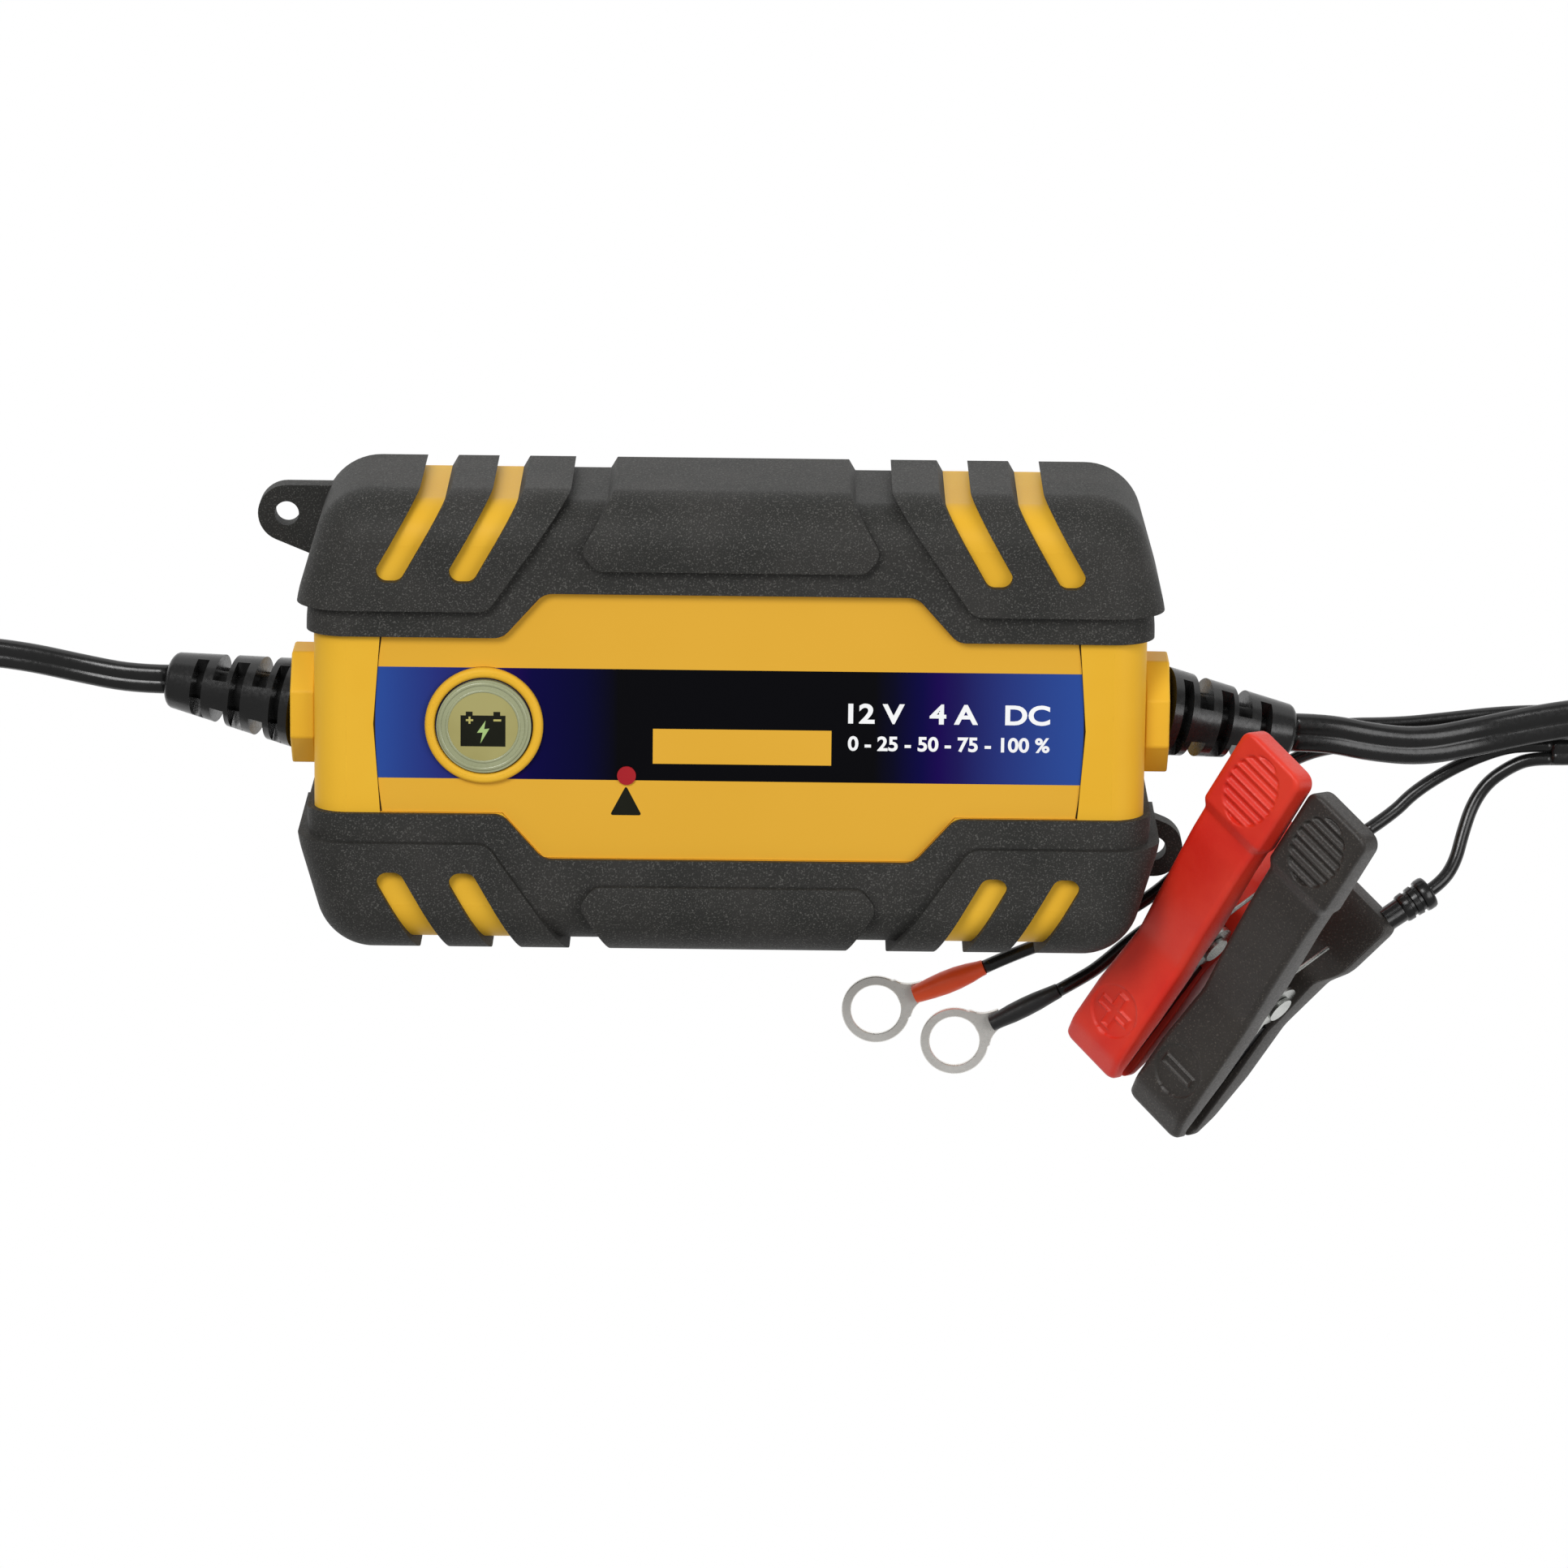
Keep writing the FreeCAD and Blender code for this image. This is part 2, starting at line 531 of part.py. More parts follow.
def panel_outline(shrink):
    """Corners of the printed panel, smaller all round by some amount, from the right end round."""
    quarter = [("label_half - (%s)" % shrink, "0"),
               ("label_half - label_bow - (%s)" % shrink, "flange_edge - (%s)" % shrink),
               ("flange_reach - (%s)" % shrink, "flange_edge - (%s)" % shrink),
               ("centre_reach - (%s)" % shrink, "centre_edge - (%s)" % shrink)]
    mirrored = [("-(%s)" % x, y) for x, y in reversed(quarter)]
    upper = quarter + mirrored
    lower = [(x, "-(%s)" % y) for x, y in reversed(upper) if y != "0"]
    return upper + lower


cavity = casing_form("cavity", "-(wall + ledge)", COVER_TOP, PANEL_BACK)
opening = casing_form("cover_opening", "-wall", "-1", COVER_TOP)
recess = prism("panel_recess", "XY_Plane", panel_outline("0"), "label_recess + 1", PANEL_Z)
corner_signs = [(i, j) for i in (-1, 1) for j in (-1, 1)]
SCREW_TOP = "screw_sunk + screw_head_thick + screw_long"
inside = []
for number, (i, j) in enumerate(corner_signs):
    x, y = "%d * screw_out" % i, "%d * screw_up" % j
    boss = rod("boss_%d" % number, "boss_round", "%s - (%s)" % (PANEL_BACK, COVER_TOP), x, y, COVER_TOP)
    pilot = rod("pilot_%d" % number, "screw_shank / 2 + screw_play", "%s + 1 - (%s)" % (SCREW_TOP, COVER_TOP),
                x, y, COVER_TOP)
    inside.append(cut("bored_boss_%d" % number, boss, pilot))
DISPLAY_FRONT = "%s - display_back" % PANEL_BACK
for number, (i, j) in enumerate(corner_signs):
    x = "-display_out + %d * (display_wide / 2 - post_inset)" % i
    y = "%d * (display_tall / 2 - post_inset)" % j
    inside.append(rod("display_post_%d" % number, "post_wide / 2", "display_back", x, y, DISPLAY_FRONT))
    inside.append(rod("display_pin_%d" % number, "pin_wide / 2", "board_thick + 1.0", x, y,
                      "%s - board_thick - 1.0" % DISPLAY_FRONT))
holes = [rod("button_hole", "button_wide / 2 + button_play", "wall + 2", "-button_out", "0", PANEL_BACK + " - 1"),
         rod("lamp_hole", "lamp_wide / 2 + lamp_play", "wall + 2", "-lamp_out", "-lamp_down", PANEL_BACK + " - 1"),
         rod("left_hole", "gland_neck / 2 + gland_play", "wall + ledge + 4",
             "-body_wide / 2 - 1", "0", "gland_up", "x"),
         rod("right_hole", "gland_neck / 2 + gland_play", "wall + ledge + 4",
             "body_wide / 2 - wall - ledge - 3", "0", "gland_up", "x")]
shell = cut("housing_shell", fuse("housing_ridged", housing_form, *slot_ridges), cavity, opening, recess)
keep("front_housing", cut("housing_bored", fuse("housing_filled", shell, *inside), *holes))

plate = casing_form("cover_plate", "-(wall + cover_play)", "0", "cover_thick")
stands, sunk = [], []
for number, (i, j) in enumerate(corner_signs):
    x, y = "%d * (main_wide / 2 - stand_inset)" % i, "%d * (main_tall / 2 - stand_inset)" % j
    stands.append(rod("stand_%d" % number, "stand_wide / 2", "main_up - cover_thick", x, y, "cover_thick"))
    stands.append(rod("stand_pin_%d" % number, "stand_pin / 2", "board_thick + 1.2", x, y, "main_up"))
    x, y = "%d * screw_out" % i, "%d * screw_up" % j
    sunk.append(rod("head_sink_%d" % number, "screw_head / 2 + screw_play", "screw_sunk + screw_head_thick + 1",
                    x, y, "-1"))
    sunk.append(rod("shank_hole_%d" % number, "screw_shank / 2 + screw_play", "cover_thick + 2", x, y, "-1"))
keep("back_cover", cut("cover_bored", fuse("cover_blank", plate, *stands), *sunk))
seal_outer = casing_form("seal_outer", "-(wall + cover_play)", "cover_thick", COVER_TOP)
seal_inner = casing_form("seal_inner", "-(wall + ledge + cover_play)", "cover_thick - 1", COVER_TOP + " + 1")
keep("cover_seal", cut("seal_ring", seal_outer, seal_inner))
screws = []
for number, (i, j) in enumerate(corner_signs):
    x, y = "%d * screw_out" % i, "%d * screw_up" % j
    head = rod("screw_head_%d" % number, "screw_head / 2", "screw_head_thick", x, y, "screw_sunk")
    shank = rod("screw_shank_%d" % number, "screw_shank / 2", "screw_long", x, y, "screw_sunk + screw_head_thick")
    drive = block("screw_drive_%d" % number, "screw_head - 1.4", "0.9", "0.8", x, y, "screw_sunk - 0.1")
    drive_across = block("screw_drive_across_%d" % number, "0.9", "screw_head - 1.4", "0.8", x, y,
                         "screw_sunk - 0.1")
    screws.append(cut("screw_%d" % number, fuse("screw_blank_%d" % number, head, shank), drive, drive_across))
case_screws = document.addObject("Part::Compound", "screw_group")
case_screws.Links = screws
keep("case_screws", case_screws)

# Front panel

FILM_TOP = "body_deep - label_recess + label_thick"
film = prism("film", "XY_Plane", panel_outline("label_play"), "label_thick", PANEL_Z)
keep("label_overlay", cut("film_cut", film,
                          rod("film_bezel_hole", "bezel_wide / 2 + label_play", "4", "-button_out", "0", PANEL_Z + " - 1"),
                          rod("film_lamp_hole", "lamp_wide / 2 + lamp_play", "4", "-lamp_out", "-lamp_down",
                              PANEL_Z + " - 1")))
bezel = document.addObject("PartDesign::Body", "bezel_body")
for kind, name, radius in (("PartDesign::AdditiveCylinder", "bezel_rim", "bezel_wide / 2"),
                           ("PartDesign::SubtractiveCylinder", "bezel_bore", "button_wide / 2 + button_play")):
    ring = bezel.newObject(kind, name)
    bind(ring, Radius=radius, Height="label_thick + bezel_proud")
    at(ring, "-button_out", "0", PANEL_Z)
    document.recompute()
bezel_top = size("body_deep") - size("label_recess") + size("label_thick") + size("bezel_proud")
top_rings = ["Edge%d" % (number + 1) for number, edge in enumerate(bezel.Tip.Shape.Edges)
             if abs(edge.BoundBox.ZMin - bezel_top) < 1e-3]
bezel_ring = bezel.Tip
bezel_fillet = bezel.newObject("PartDesign::Fillet", "bezel_soft")
bezel_fillet.Base = (bezel_ring, top_rings)
bind(bezel_fillet, Radius="bezel_round")
keep("button_bezel", bezel)

LIP_TOP = "%s - button_seat" % PANEL_BACK
BUTTON_TOP = "%s + button_proud" % FILM_TOP
CAP_FLOOR = "%s - button_skin" % BUTTON_TOP
SWITCH_TOP = "%s + switch_tall" % DISPLAY_FRONT
button_at = ("-button_out", "0")
cap = fuse("cap_blank",
           rod("cap_drum", "button_wide / 2", "%s - (%s) + button_lip_thick" % (BUTTON_TOP, LIP_TOP), *button_at,
               "%s - button_lip_thick" % LIP_TOP),
           rod("cap_lip", "button_wide / 2 + button_play + button_lip", "button_lip_thick", *button_at,
               "%s - button_lip_thick" % LIP_TOP))
hollow = cut("cap_hollow",
             rod("cap_room", "button_wide / 2 - button_skin", "%s - (%s) + button_lip_thick + 1" % (CAP_FLOOR, LIP_TOP),
                 *button_at, "%s - button_lip_thick - 1" % LIP_TOP),
             rod("cap_stem", "plunger_wide / 2", "20", *button_at, "%s + 1.2" % SWITCH_TOP))
keep("status_button", cut("button_shell", cap, hollow,
                          rod("symbol_seat", "symbol_wide / 2", "symbol_thick + 1", *button_at,
                              "%s - symbol_thick" % BUTTON_TOP)))
keep("symbol_disc", rod("symbol_plate", "symbol_wide / 2", "symbol_thick", *button_at,
                        "%s - symbol_thick" % BUTTON_TOP))
keep("switch_plunger", rod("plunger", "plunger_wide / 2", "plunger_sunk + 1.2", *button_at,
                           "%s - plunger_sunk" % SWITCH_TOP))
keep("button_switch", cut("switch_bored",
                          block("switch_box", "switch_wide", "switch_wide", "switch_tall", *button_at, DISPLAY_FRONT),
                          rod("switch_bore", "plunger_wide / 2 + plunger_play", "plunger_sunk + button_travel + 1",
                              *button_at, "%s - plunger_sunk - button_travel - 0.1" % SWITCH_TOP)))
LAMP_TOP = "%s + lamp_proud" % FILM_TOP
lamp_at = ("-lamp_out", "-lamp_down")
keep("fault_lamp_lens", fuse("lens", rod("lens_drum", "lamp_wide / 2", "%s - (%s)" % (LAMP_TOP, PANEL_BACK),
                                         *lamp_at, PANEL_BACK),
                             rod("lens_lip", "lamp_wide / 2 + lamp_lip", "1.0", *lamp_at, PANEL_BACK + " - 1.0")))
display = block("display_blank", "display_wide", "display_tall", "board_thick", "-display_out", "0",
                "%s - board_thick" % DISPLAY_FRONT)
display_holes = [rod("display_hole_%d" % number, "pin_wide / 2", "6",
                     "-display_out + %d * (display_wide / 2 - post_inset)" % i,
                     "%d * (display_tall / 2 - post_inset)" % j, "%s - 4" % DISPLAY_FRONT)
                 for number, (i, j) in enumerate(corner_signs)]
keep("display_board", cut("display_holed", display, *display_holes))
lamps = document.addObject("Part::Compound", "led_group")
lamps.Links = [rod("led_%d" % k, "led_wide / 2", tall, x, y, DISPLAY_FRONT)
               for k, (x, y, tall) in enumerate((("-button_out - led_out", "0", "led_tall"),
                                                 ("-button_out + led_out", "0", "led_tall"),
                                                 ("-lamp_out", "-lamp_down", "display_back - 1.3")))]
keep("indicator_leds", lamps)

# Main board

BOARD_TOP = "main_up + board_thick"
main_board = block("main_blank", "main_wide", "main_tall", "board_thick", "0", "0", "main_up")
main_holes = [rod("main_hole_%d" % number, "stand_pin / 2", "6", "%d * (main_wide / 2 - stand_inset)" % i,
                  "%d * (main_tall / 2 - stand_inset)" % j, "main_up - 2")
              for number, (i, j) in enumerate(corner_signs)]
keep("main_board", cut("main_holed", main_board, *main_holes))
core = block("core_blank", "core_wide", "core_deep", "core_tall", "core_out", "0", BOARD_TOP)
window = "(core_wide - 4 * core_limb) / 2"
windows = [block("window_%d" % (hand + 1), window, "core_deep + 2", "core_tall - 2 * core_limb",
                 "core_out + %d * (core_limb + (%s) / 2)" % (hand, window), "0", BOARD_TOP + " + core_limb")
           for hand in (-1, 1)]
keep("transformer_core", cut("core_cut", core, *windows))
winding = block("winding_blank", "2 * core_limb + 2 * (%s)" % window, "bobbin_deep", "core_tall - 2 * core_limb",
                "core_out", "0", BOARD_TOP + " + core_limb")
limb = block("limb_room", "2 * core_limb", "core_deep", "core_tall", "core_out", "0", BOARD_TOP)
keep("transformer_winding", cut("winding_cut", winding, limb))
cans = document.addObject("Part::Compound", "can_group")
cans.Links = [rod("can_%d" % k, "capacitor_wide / 2", "capacitor_tall", "capacitor_out",
                  "%d * capacitor_step / 2" % side, BOARD_TOP) for k, side in enumerate((-1, 1))]
keep("filter_capacitors", cans)
keep("mains_fuse", rod("fuse_body", "fuse_wide / 2", "fuse_long", "-fuse_out - fuse_long / 2", "fuse_up",
                       BOARD_TOP + " + fuse_wide / 2", "x"))
choke_at = ("-choke_out", "-choke_down", BOARD_TOP)
keep("line_choke", cut("choke_ring", rod("choke_body", "choke_wide / 2", "choke_tall", *choke_at),
                       rod("choke_hole", "choke_bore / 2", "choke_tall + 4", "-choke_out", "-choke_down",
                           BOARD_TOP + " - 2")))
SINK_FACE = "-sink_down + sink_back / 2"
fins = [block("fin_%d" % k, "fin_thick", "sink_fin", "sink_tall",
              "sink_out - (sink_wide - fin_thick) / 2 + %d * (sink_wide - fin_thick) / (fin_count - 1)" % k,
              "-sink_down - (sink_back + sink_fin) / 2", BOARD_TOP) for k in range(int(size("fin_count")))]
keep("heat_sink", fuse("sink_body", block("sink_plate", "sink_wide", "sink_back", "sink_tall", "sink_out",
                                          "-sink_down", BOARD_TOP), *fins))
chips = document.addObject("Part::Compound", "chip_group")
chips.Links = [block("chip_%d" % k, "chip_wide", "chip_thick", "chip_tall", "sink_out + %d * chip_step / 2" % side,
                     SINK_FACE + " + chip_thick / 2", BOARD_TOP) for k, side in enumerate((-1, 1))]
keep("power_transistors", chips)

# Collars and strain reliefs


def collar(label, hand):
    """An octagonal collar outside an end wall with a round neck through it."""
    flat, tip = "gland_across / 2", "gland_across / 2 * tan(22.5)"
    ring = [(flat, tip), (tip, flat), ("-(%s)" % tip, flat), ("-(%s)" % flat, tip), ("-(%s)" % flat, "-(%s)" % tip),
            ("-(%s)" % tip, "-(%s)" % flat), (tip, "-(%s)" % flat), (flat, "-(%s)" % tip)]
    start = "body_wide / 2" if hand > 0 else "-body_wide / 2 - gland_thick"
    plate = prism(label + "_plate", "YZ_Plane", [(y, "gland_up + %s" % z) for y, z in ring], "gland_thick", start)
    neck_long = "wall + ledge + gland_inside"
    neck_start = "body_wide / 2 - (%s)" % neck_long if hand > 0 else "-body_wide / 2"
    neck = rod(label + "_neck", "gland_neck / 2", neck_long, neck_start, "0", "gland_up", "x")
    bore = rod(label + "_bore", "relief_bore / 2", "60", "%d * body_wide / 2 - 30" % hand, "0", "gland_up", "x")
    keep(label, cut(label + "_bored", fuse(label + "_blank", plate, neck), bore))


collar("left_gland_collar", -1)
collar("right_gland_collar", 1)


def soft_rectangle(centre, wide, thick):
    """A closed rounded rectangle that faces along X."""
    r = 0.42 * thick
    y, z = wide / 2, thick / 2
    k = r * (1 - math.sqrt(0.5))
    ring = []
    for i, j in ((1, 1), (-1, 1), (-1, -1), (1, -1)):
        first, last = V(0, i * y, j * (z - r)), V(0, i * (y - r), j * z)
        if i * j < 0:
            first, last = last, first
        ring.append((first, V(0, i * (y - k), j * (z - k)), last))
    edges = []
    for (a, b, c), (d, e, f) in zip(ring, ring[1:] + ring[:1]):
        edges.append(Part.Arc(centre + a, centre + b, centre + c).toShape())
        edges.append(Part.LineSegment(centre + c, centre + d).toShape())
    return Part.Wire(edges)


def strain_relief(label, hand, side):
    """A tapered, segmented strain relief that leans a little downwards, with its root in the collar."""
    root_x = size("body_wide") / 2 + size("gland_thick")
    long = size("relief_long")

    def section(t, less):
        centre = V(hand * (root_x + t * long), t * size(side), size("gland_up") - t * size("relief_drop"))
        wide = size("relief_root_wide") + t * (size("relief_tip_wide") - size("relief_root_wide")) - less
        thick = size("relief_root_thick") + t * (size("relief_tip_thick") - size("relief_root_thick"))
        return soft_rectangle(centre, wide, thick - less / 3)

    notch = size("relief_notch") / long
    third = (1 - 2 * notch) / 3
    body = Part.makeLoft([section(0, size("relief_core_less")), section(1, size("relief_core_less"))], True, True)
    for k in range(3):
        start = k * (third + notch)
        body = body.fuse(Part.makeLoft([section(start, 0), section(start + third, 0)], True, True))
    neck_long = size("wall") + size("ledge") + size("gland_inside") + size("gland_thick")
    inward = V(-hand, 0, 0)
    face = V(hand * root_x, 0, size("gland_up"))
    body = body.fuse(Part.makeCylinder(size("relief_bore") / 2, neck_long, face, inward))
    body = body.fuse(Part.makeCylinder(size("gland_neck") / 2 - 0.6, 1.8, face + inward * neck_long, inward))
    return solid(label, body)


strain_relief("mains_strain_relief", -1, "mains_relief_side")
strain_relief("output_strain_relief", 1, "output_relief_side")

# Cords: straight runs joined by tangent arcs, and coils of quarter turns


def route(points):
    """The path's edges and the smallest bend radius on it."""
    edges, radii, last = [], [], points[0]
    for a, b, c in zip(points, points[1:], points[2:]):
        back, on = a - b, c - b
        reach = 0.45 * min(back.Length, on.Length)
        back.normalize()
        on.normalize()
        turn = math.pi - math.acos(max(-1, min(1, back.dot(on))))
        radius = reach / math.tan(turn / 2)
        start, end = b + back * reach, b + on * reach
        centre = b + ((start + end) * 0.5 - b).normalize() * math.hypot(reach, radius)
        middle = centre + (b - centre).normalize() * radius
        edges += [Part.LineSegment(last, start).toShape(), Part.Arc(start, middle, end).toShape()]
        radii.append(radius)
        last = end
    edges.append(Part.LineSegment(last, points[-1]).toShape())
    return edges, min(radii)


def stadium(centre, direction, wide, thick):
    """A flat cord's section across a direction."""
    direction = V(direction).normalize()
    side = V(0, 0, 1).cross(direction).normalize()
    up = direction.cross(side)
    r, half = thick / 2, (wide - thick) / 2
    a, b = centre + side * half + up * r, centre - side * half + up * r
    c, d = centre - side * half - up * r, centre + side * half - up * r
    edges = [Part.LineSegment(a, b).toShape(), Part.Arc(b, centre - side * (half + r), c).toShape(),
             Part.LineSegment(c, d).toShape(), Part.Arc(d, centre + side * (half + r), a).toShape()]
    return Part.Wire(edges), (wide - thick) * thick + math.pi * r * r


def tube(label, points, wide, thick=None):
    """A flat or round cord along a route, with its bend radius and volume printed."""
    points = [V(*point) for point in points]
    edges, tightest = route(points)
    path = Part.Wire(edges)
    direction = points[1] - points[0]
    if thick:
        section, area = stadium(points[0], direction, wide, thick)
    else:
        section = Part.Wire(Part.makeCircle(wide / 2, points[0], direction))
        area = math.pi * wide * wide / 4
    shell = Part.BRepOffsetAPI.MakePipeShell(path)
    if thick:
        shell.setBiNormalMode(V(0, 0, 1))
    shell.add(section)
    shell.build()
    shell.makeSolid()
    shape = shell.shape()
    print("%s: length %.1f, bend radius %.1f (%.1f widths), volume %.3f of section times length" % (
        label, path.Length, tightest, tightest / wide, shape.Volume / (area * path.Length)))
    return solid(label, shape)


def tangent_arc(start, heading, end):
    """The arc from one point to another that sets off in a given direction."""
    chord = end - start
    weight = max(-1, min(1, chord.dot(heading) / chord.Length))
    control = start + heading * (chord.Length / (2 * weight))
    middle = (start + control * (2 * weight) + end) * (1 / (2 * (1 + weight)))
    return Part.Arc(start, middle, end).toShape()


def two_arcs(start, out, end, into):
    """Two arcs that join two points and keep both directions."""
    gap, both = end - start, out + into
    a, b, c = 2 * (1 - out.dot(into)), gap.dot(both), gap.dot(gap)
    reach = (math.sqrt(b * b + a * c) - b) / a if a > 1e-9 else c / (4 * gap.dot(into))
    first, second = start + out * reach, end - into * reach
    join = (first + second) * 0.5
    turned = (second - first).normalize()
    return [tangent_arc(start, out, join), tangent_arc(join, turned, end)]


def swept(stations, place, before, after, radius):
    """An unbroken round sweep through stations of a curve, with a straight piece at each end."""
    step = 1e-4
    knots = [place(station) for station in stations]
    ways = [(place(station + step) - place(station - step)).normalize() for station in stations]
    first, last = knots[0] - ways[0] * before, knots[-1] + ways[-1] * after
    edges = [Part.LineSegment(first, knots[0]).toShape()]
    for k in range(len(stations) - 1):
        edges += two_arcs(knots[k], ways[k], knots[k + 1], ways[k + 1])
    edges.append(Part.LineSegment(knots[-1], last).toShape())
    shell = Part.BRepOffsetAPI.MakePipeShell(Part.Wire(edges))
    shell.add(Part.Wire(Part.makeCircle(radius, first, ways[0])))
    shell.build()
    shell.makeSolid()
    length = sum(edge.Length for edge in edges)
    return shell.shape(), length, (first, ways[0]), (last, ways[-1])


def smooth(t):
    t = max(0.0, min(1.0, t))
    return t * t * (3 - 2 * t)


def put_away(label, entry, heading, across, turns, inward, wide, tail):
    """A flat two-layer coil on the floor, wound anticlockwise from its outer turn inwards and out again."""
    pitch = wide + size("coil_gap")
    start_angle = math.radians(heading - 90)
    centre = V(*entry) - V(across * math.cos(start_angle), across * math.sin(start_angle), 0)
    low, high = wide / 2 + 0.05, wide / 2 + 0.05 + pitch

    def place(t):
        inner = across - pitch * (inward + 1)
        if t < inward + 1:
            radius = across - pitch * t
        elif t < inward + 1.5:
            radius = inner + 1.5 * pitch * smooth((t - inward - 1) * 2)
        else:
            radius = inner + 1.5 * pitch + pitch * (t - inward - 1.5)
        z = low + (high - low) * smooth((t - inward - 0.5) * 2)
        angle = start_angle + 2 * math.pi * t
        return centre + V(radius * math.cos(angle), radius * math.sin(angle), z - centre.z)

    quarters = int(round(turns * 8))
    stations = [turns * k / quarters for k in range(quarters + 1)]
    shape, length, first, last = swept(stations, place, wide, tail, wide / 2)
    fine = [place(turns * k / 1440.0) for k in range(1441)]
    per_turn = 1440 / turns
    nearest = min((fine[i] - fine[j]).Length for i in range(0, 1441, 6) for j in range(i + int(per_turn * 0.5), 1441, 6))
    print("%s: length %.1f, gap to itself %.2f, mean turn %.1f across, volume %.3f" % (
        label, length, nearest - wide, length / turns / math.pi,
        shape.Volume / (math.pi * wide * wide / 4 * length)))
    solid(label, shape)
    return first, last

TIP_X = size("body_wide") / 2 + size("gland_thick") + size("relief_long")
TIP_Z = size("gland_up") - size("relief_drop")


def heading_of(way):
    return math.degrees(math.atan2(way.y, way.x))


def laid(label, thing, place, heading, dip=0.0):
    """Puts a piece that was built along +X where a cord ends, turned to the cord's heading."""
    thing.Placement = FreeCAD.Placement(place, FreeCAD.Rotation(heading, dip, 0))
    return keep(label, thing)


def tapered(start, end, wide, thick, less_wide, less_thick, lift=0.0):
    """A rounded tapered block along +X, whose first end is the smaller."""
    first = soft_rectangle(V(start, 0, lift), less_wide, less_thick)
    return Part.makeLoft([first, soft_rectangle(V(end, 0, lift), wide, thick)], True, True)


# Mains cord, its coil and plug
w, half_coil = size("mains_cord_wide"), size("mains_cord_wide") / 2
mains_entry = V(-211, 6.2, half_coil)
(coil_first, first_way), (coil_last, coil_way) = put_away("mains_cord_coil", mains_entry, 180.0, size("mains_coil_round"),
                                           5.78, 2.5, w, size("mains_tail"))
side = size("mains_relief_side")
tube("mains_cord", [(-TIP_X, side, TIP_Z), (-TIP_X - 8, side, TIP_Z), (-TIP_X - 19, 4.6, 12.4),
                    (-TIP_X - 31, 6.0, 7.6), (-TIP_X - 44, 6.6, 4.4), (-TIP_X - 59, 6.7, half_coil),
                    tuple(coil_first - first_way * 13), tuple(coil_first)], w, size("mains_cord_thick"))
plug_from = coil_last
neck, body_long = size("plug_neck"), size("plug_long")
plug = tapered(0, neck, size("plug_wide") * 0.62, size("plug_thick") * 0.7, w * 1.45, w * 1.35)
plug = plug.fuse(tapered(neck, neck + body_long, size("plug_wide"), size("plug_thick"), size("plug_wide") * 0.9,
                         size("plug_thick") * 0.94))
plug_feature = document.addObject("Part::Feature", "plug_body")
plug_feature.Shape = plug
laid("mains_plug", plug_feature, plug_from, heading_of(coil_way))
blades = document.addObject("Part::Compound", "blade_pair")
blades.Links = [block("blade_%d" % (k + 1), "blade_long", "blade_thick", "blade_wide",
                      "plug_neck + plug_long + blade_long / 2", "%d * blade_pitch / 2" % k, "-blade_wide / 2")
                for k in (-1, 1)]
laid("plug_blades", blades, plug_from, heading_of(coil_way))

# Output lead, its coil and quick connector
w, thick = size("lead_wide"), size("lead_thick")
over_z = size("harness_thick") + thick / 2 + 0.35


def quick_connector(name):
    """Half of a two-pole connector along +X, with two sockets in its far end."""
    long = size("connector_long")
    body = tapered(0, long * 0.45, size("connector_wide"), size("connector_thick"), w + 2.4, thick + 2.4)
    body = body.fuse(tapered(long * 0.45, long, size("connector_wide"), size("connector_thick"),
                             size("connector_wide"), size("connector_thick")))
    for k in (-1, 1):
        face = V(long + 1, k * size("contact_pitch") / 2, 0)
        body = body.cut(Part.makeCylinder(size("contact_wide") / 2, size("contact_long") + 1, face, V(-1, 0, 0)))
    feature = document.addObject("Part::Feature", name)
    feature.Shape = body
    return feature


(coil_first, first_way), (coil_last, coil_way) = put_away("output_lead_coil", V(245, -7.5, w / 2), -12.0,
                                           size("output_coil_round"), 3.083, 1.05, w, w)
side = size("output_relief_side")
tube("output_lead", [(TIP_X, side, TIP_Z), (TIP_X + 8, side, TIP_Z), (TIP_X + 18, -8.2, 12.6),
                     (TIP_X + 29, -9.9, 8.6), (TIP_X + 41, -8.2, over_z), (TIP_X + 55, -5.0, over_z),
                     (TIP_X + 68, -3.2, over_z), (TIP_X + 82, -2.5, over_z), (TIP_X + 96, -2.8, over_z - 0.1),
                     tuple(coil_first - first_way * 12), tuple(coil_first)], w, thick)
laid("output_connector", quick_connector("output_half"), coil_last, heading_of(coil_way))


# Battery clamps, built once around the pin with the jaws towards -X, then placed twice

TALL = "40"
CLAMP_TURN = (size("clamp_heading"), -size("clamp_pitch"), -size("clamp_roll"))


def plan(name):
    """The clamp's outline from above: slim jaws, a waist and wider handles."""
    nose, waist, wide = "clamp_nose / 2", "clamp_waist / 2", "clamp_wide / 2"
    ahead = [("-jaw_long - 2", "(%s) - 1.2" % nose), ("-jaw_long + 3", nose), ("-12", "(%s) + 0.4" % nose),
             ("-4", waist), ("8", waist), ("18", wide), ("upper_handle - 3", wide),
             ("upper_handle + 2", "(%s) - 2.2" % wide)]
    mirrored = [(x, "-(%s)" % y) for x, y in reversed(ahead)]
    body = prism(name, "XY_Plane", ahead + mirrored, TALL, "-(%s) / 2" % TALL)
    return body


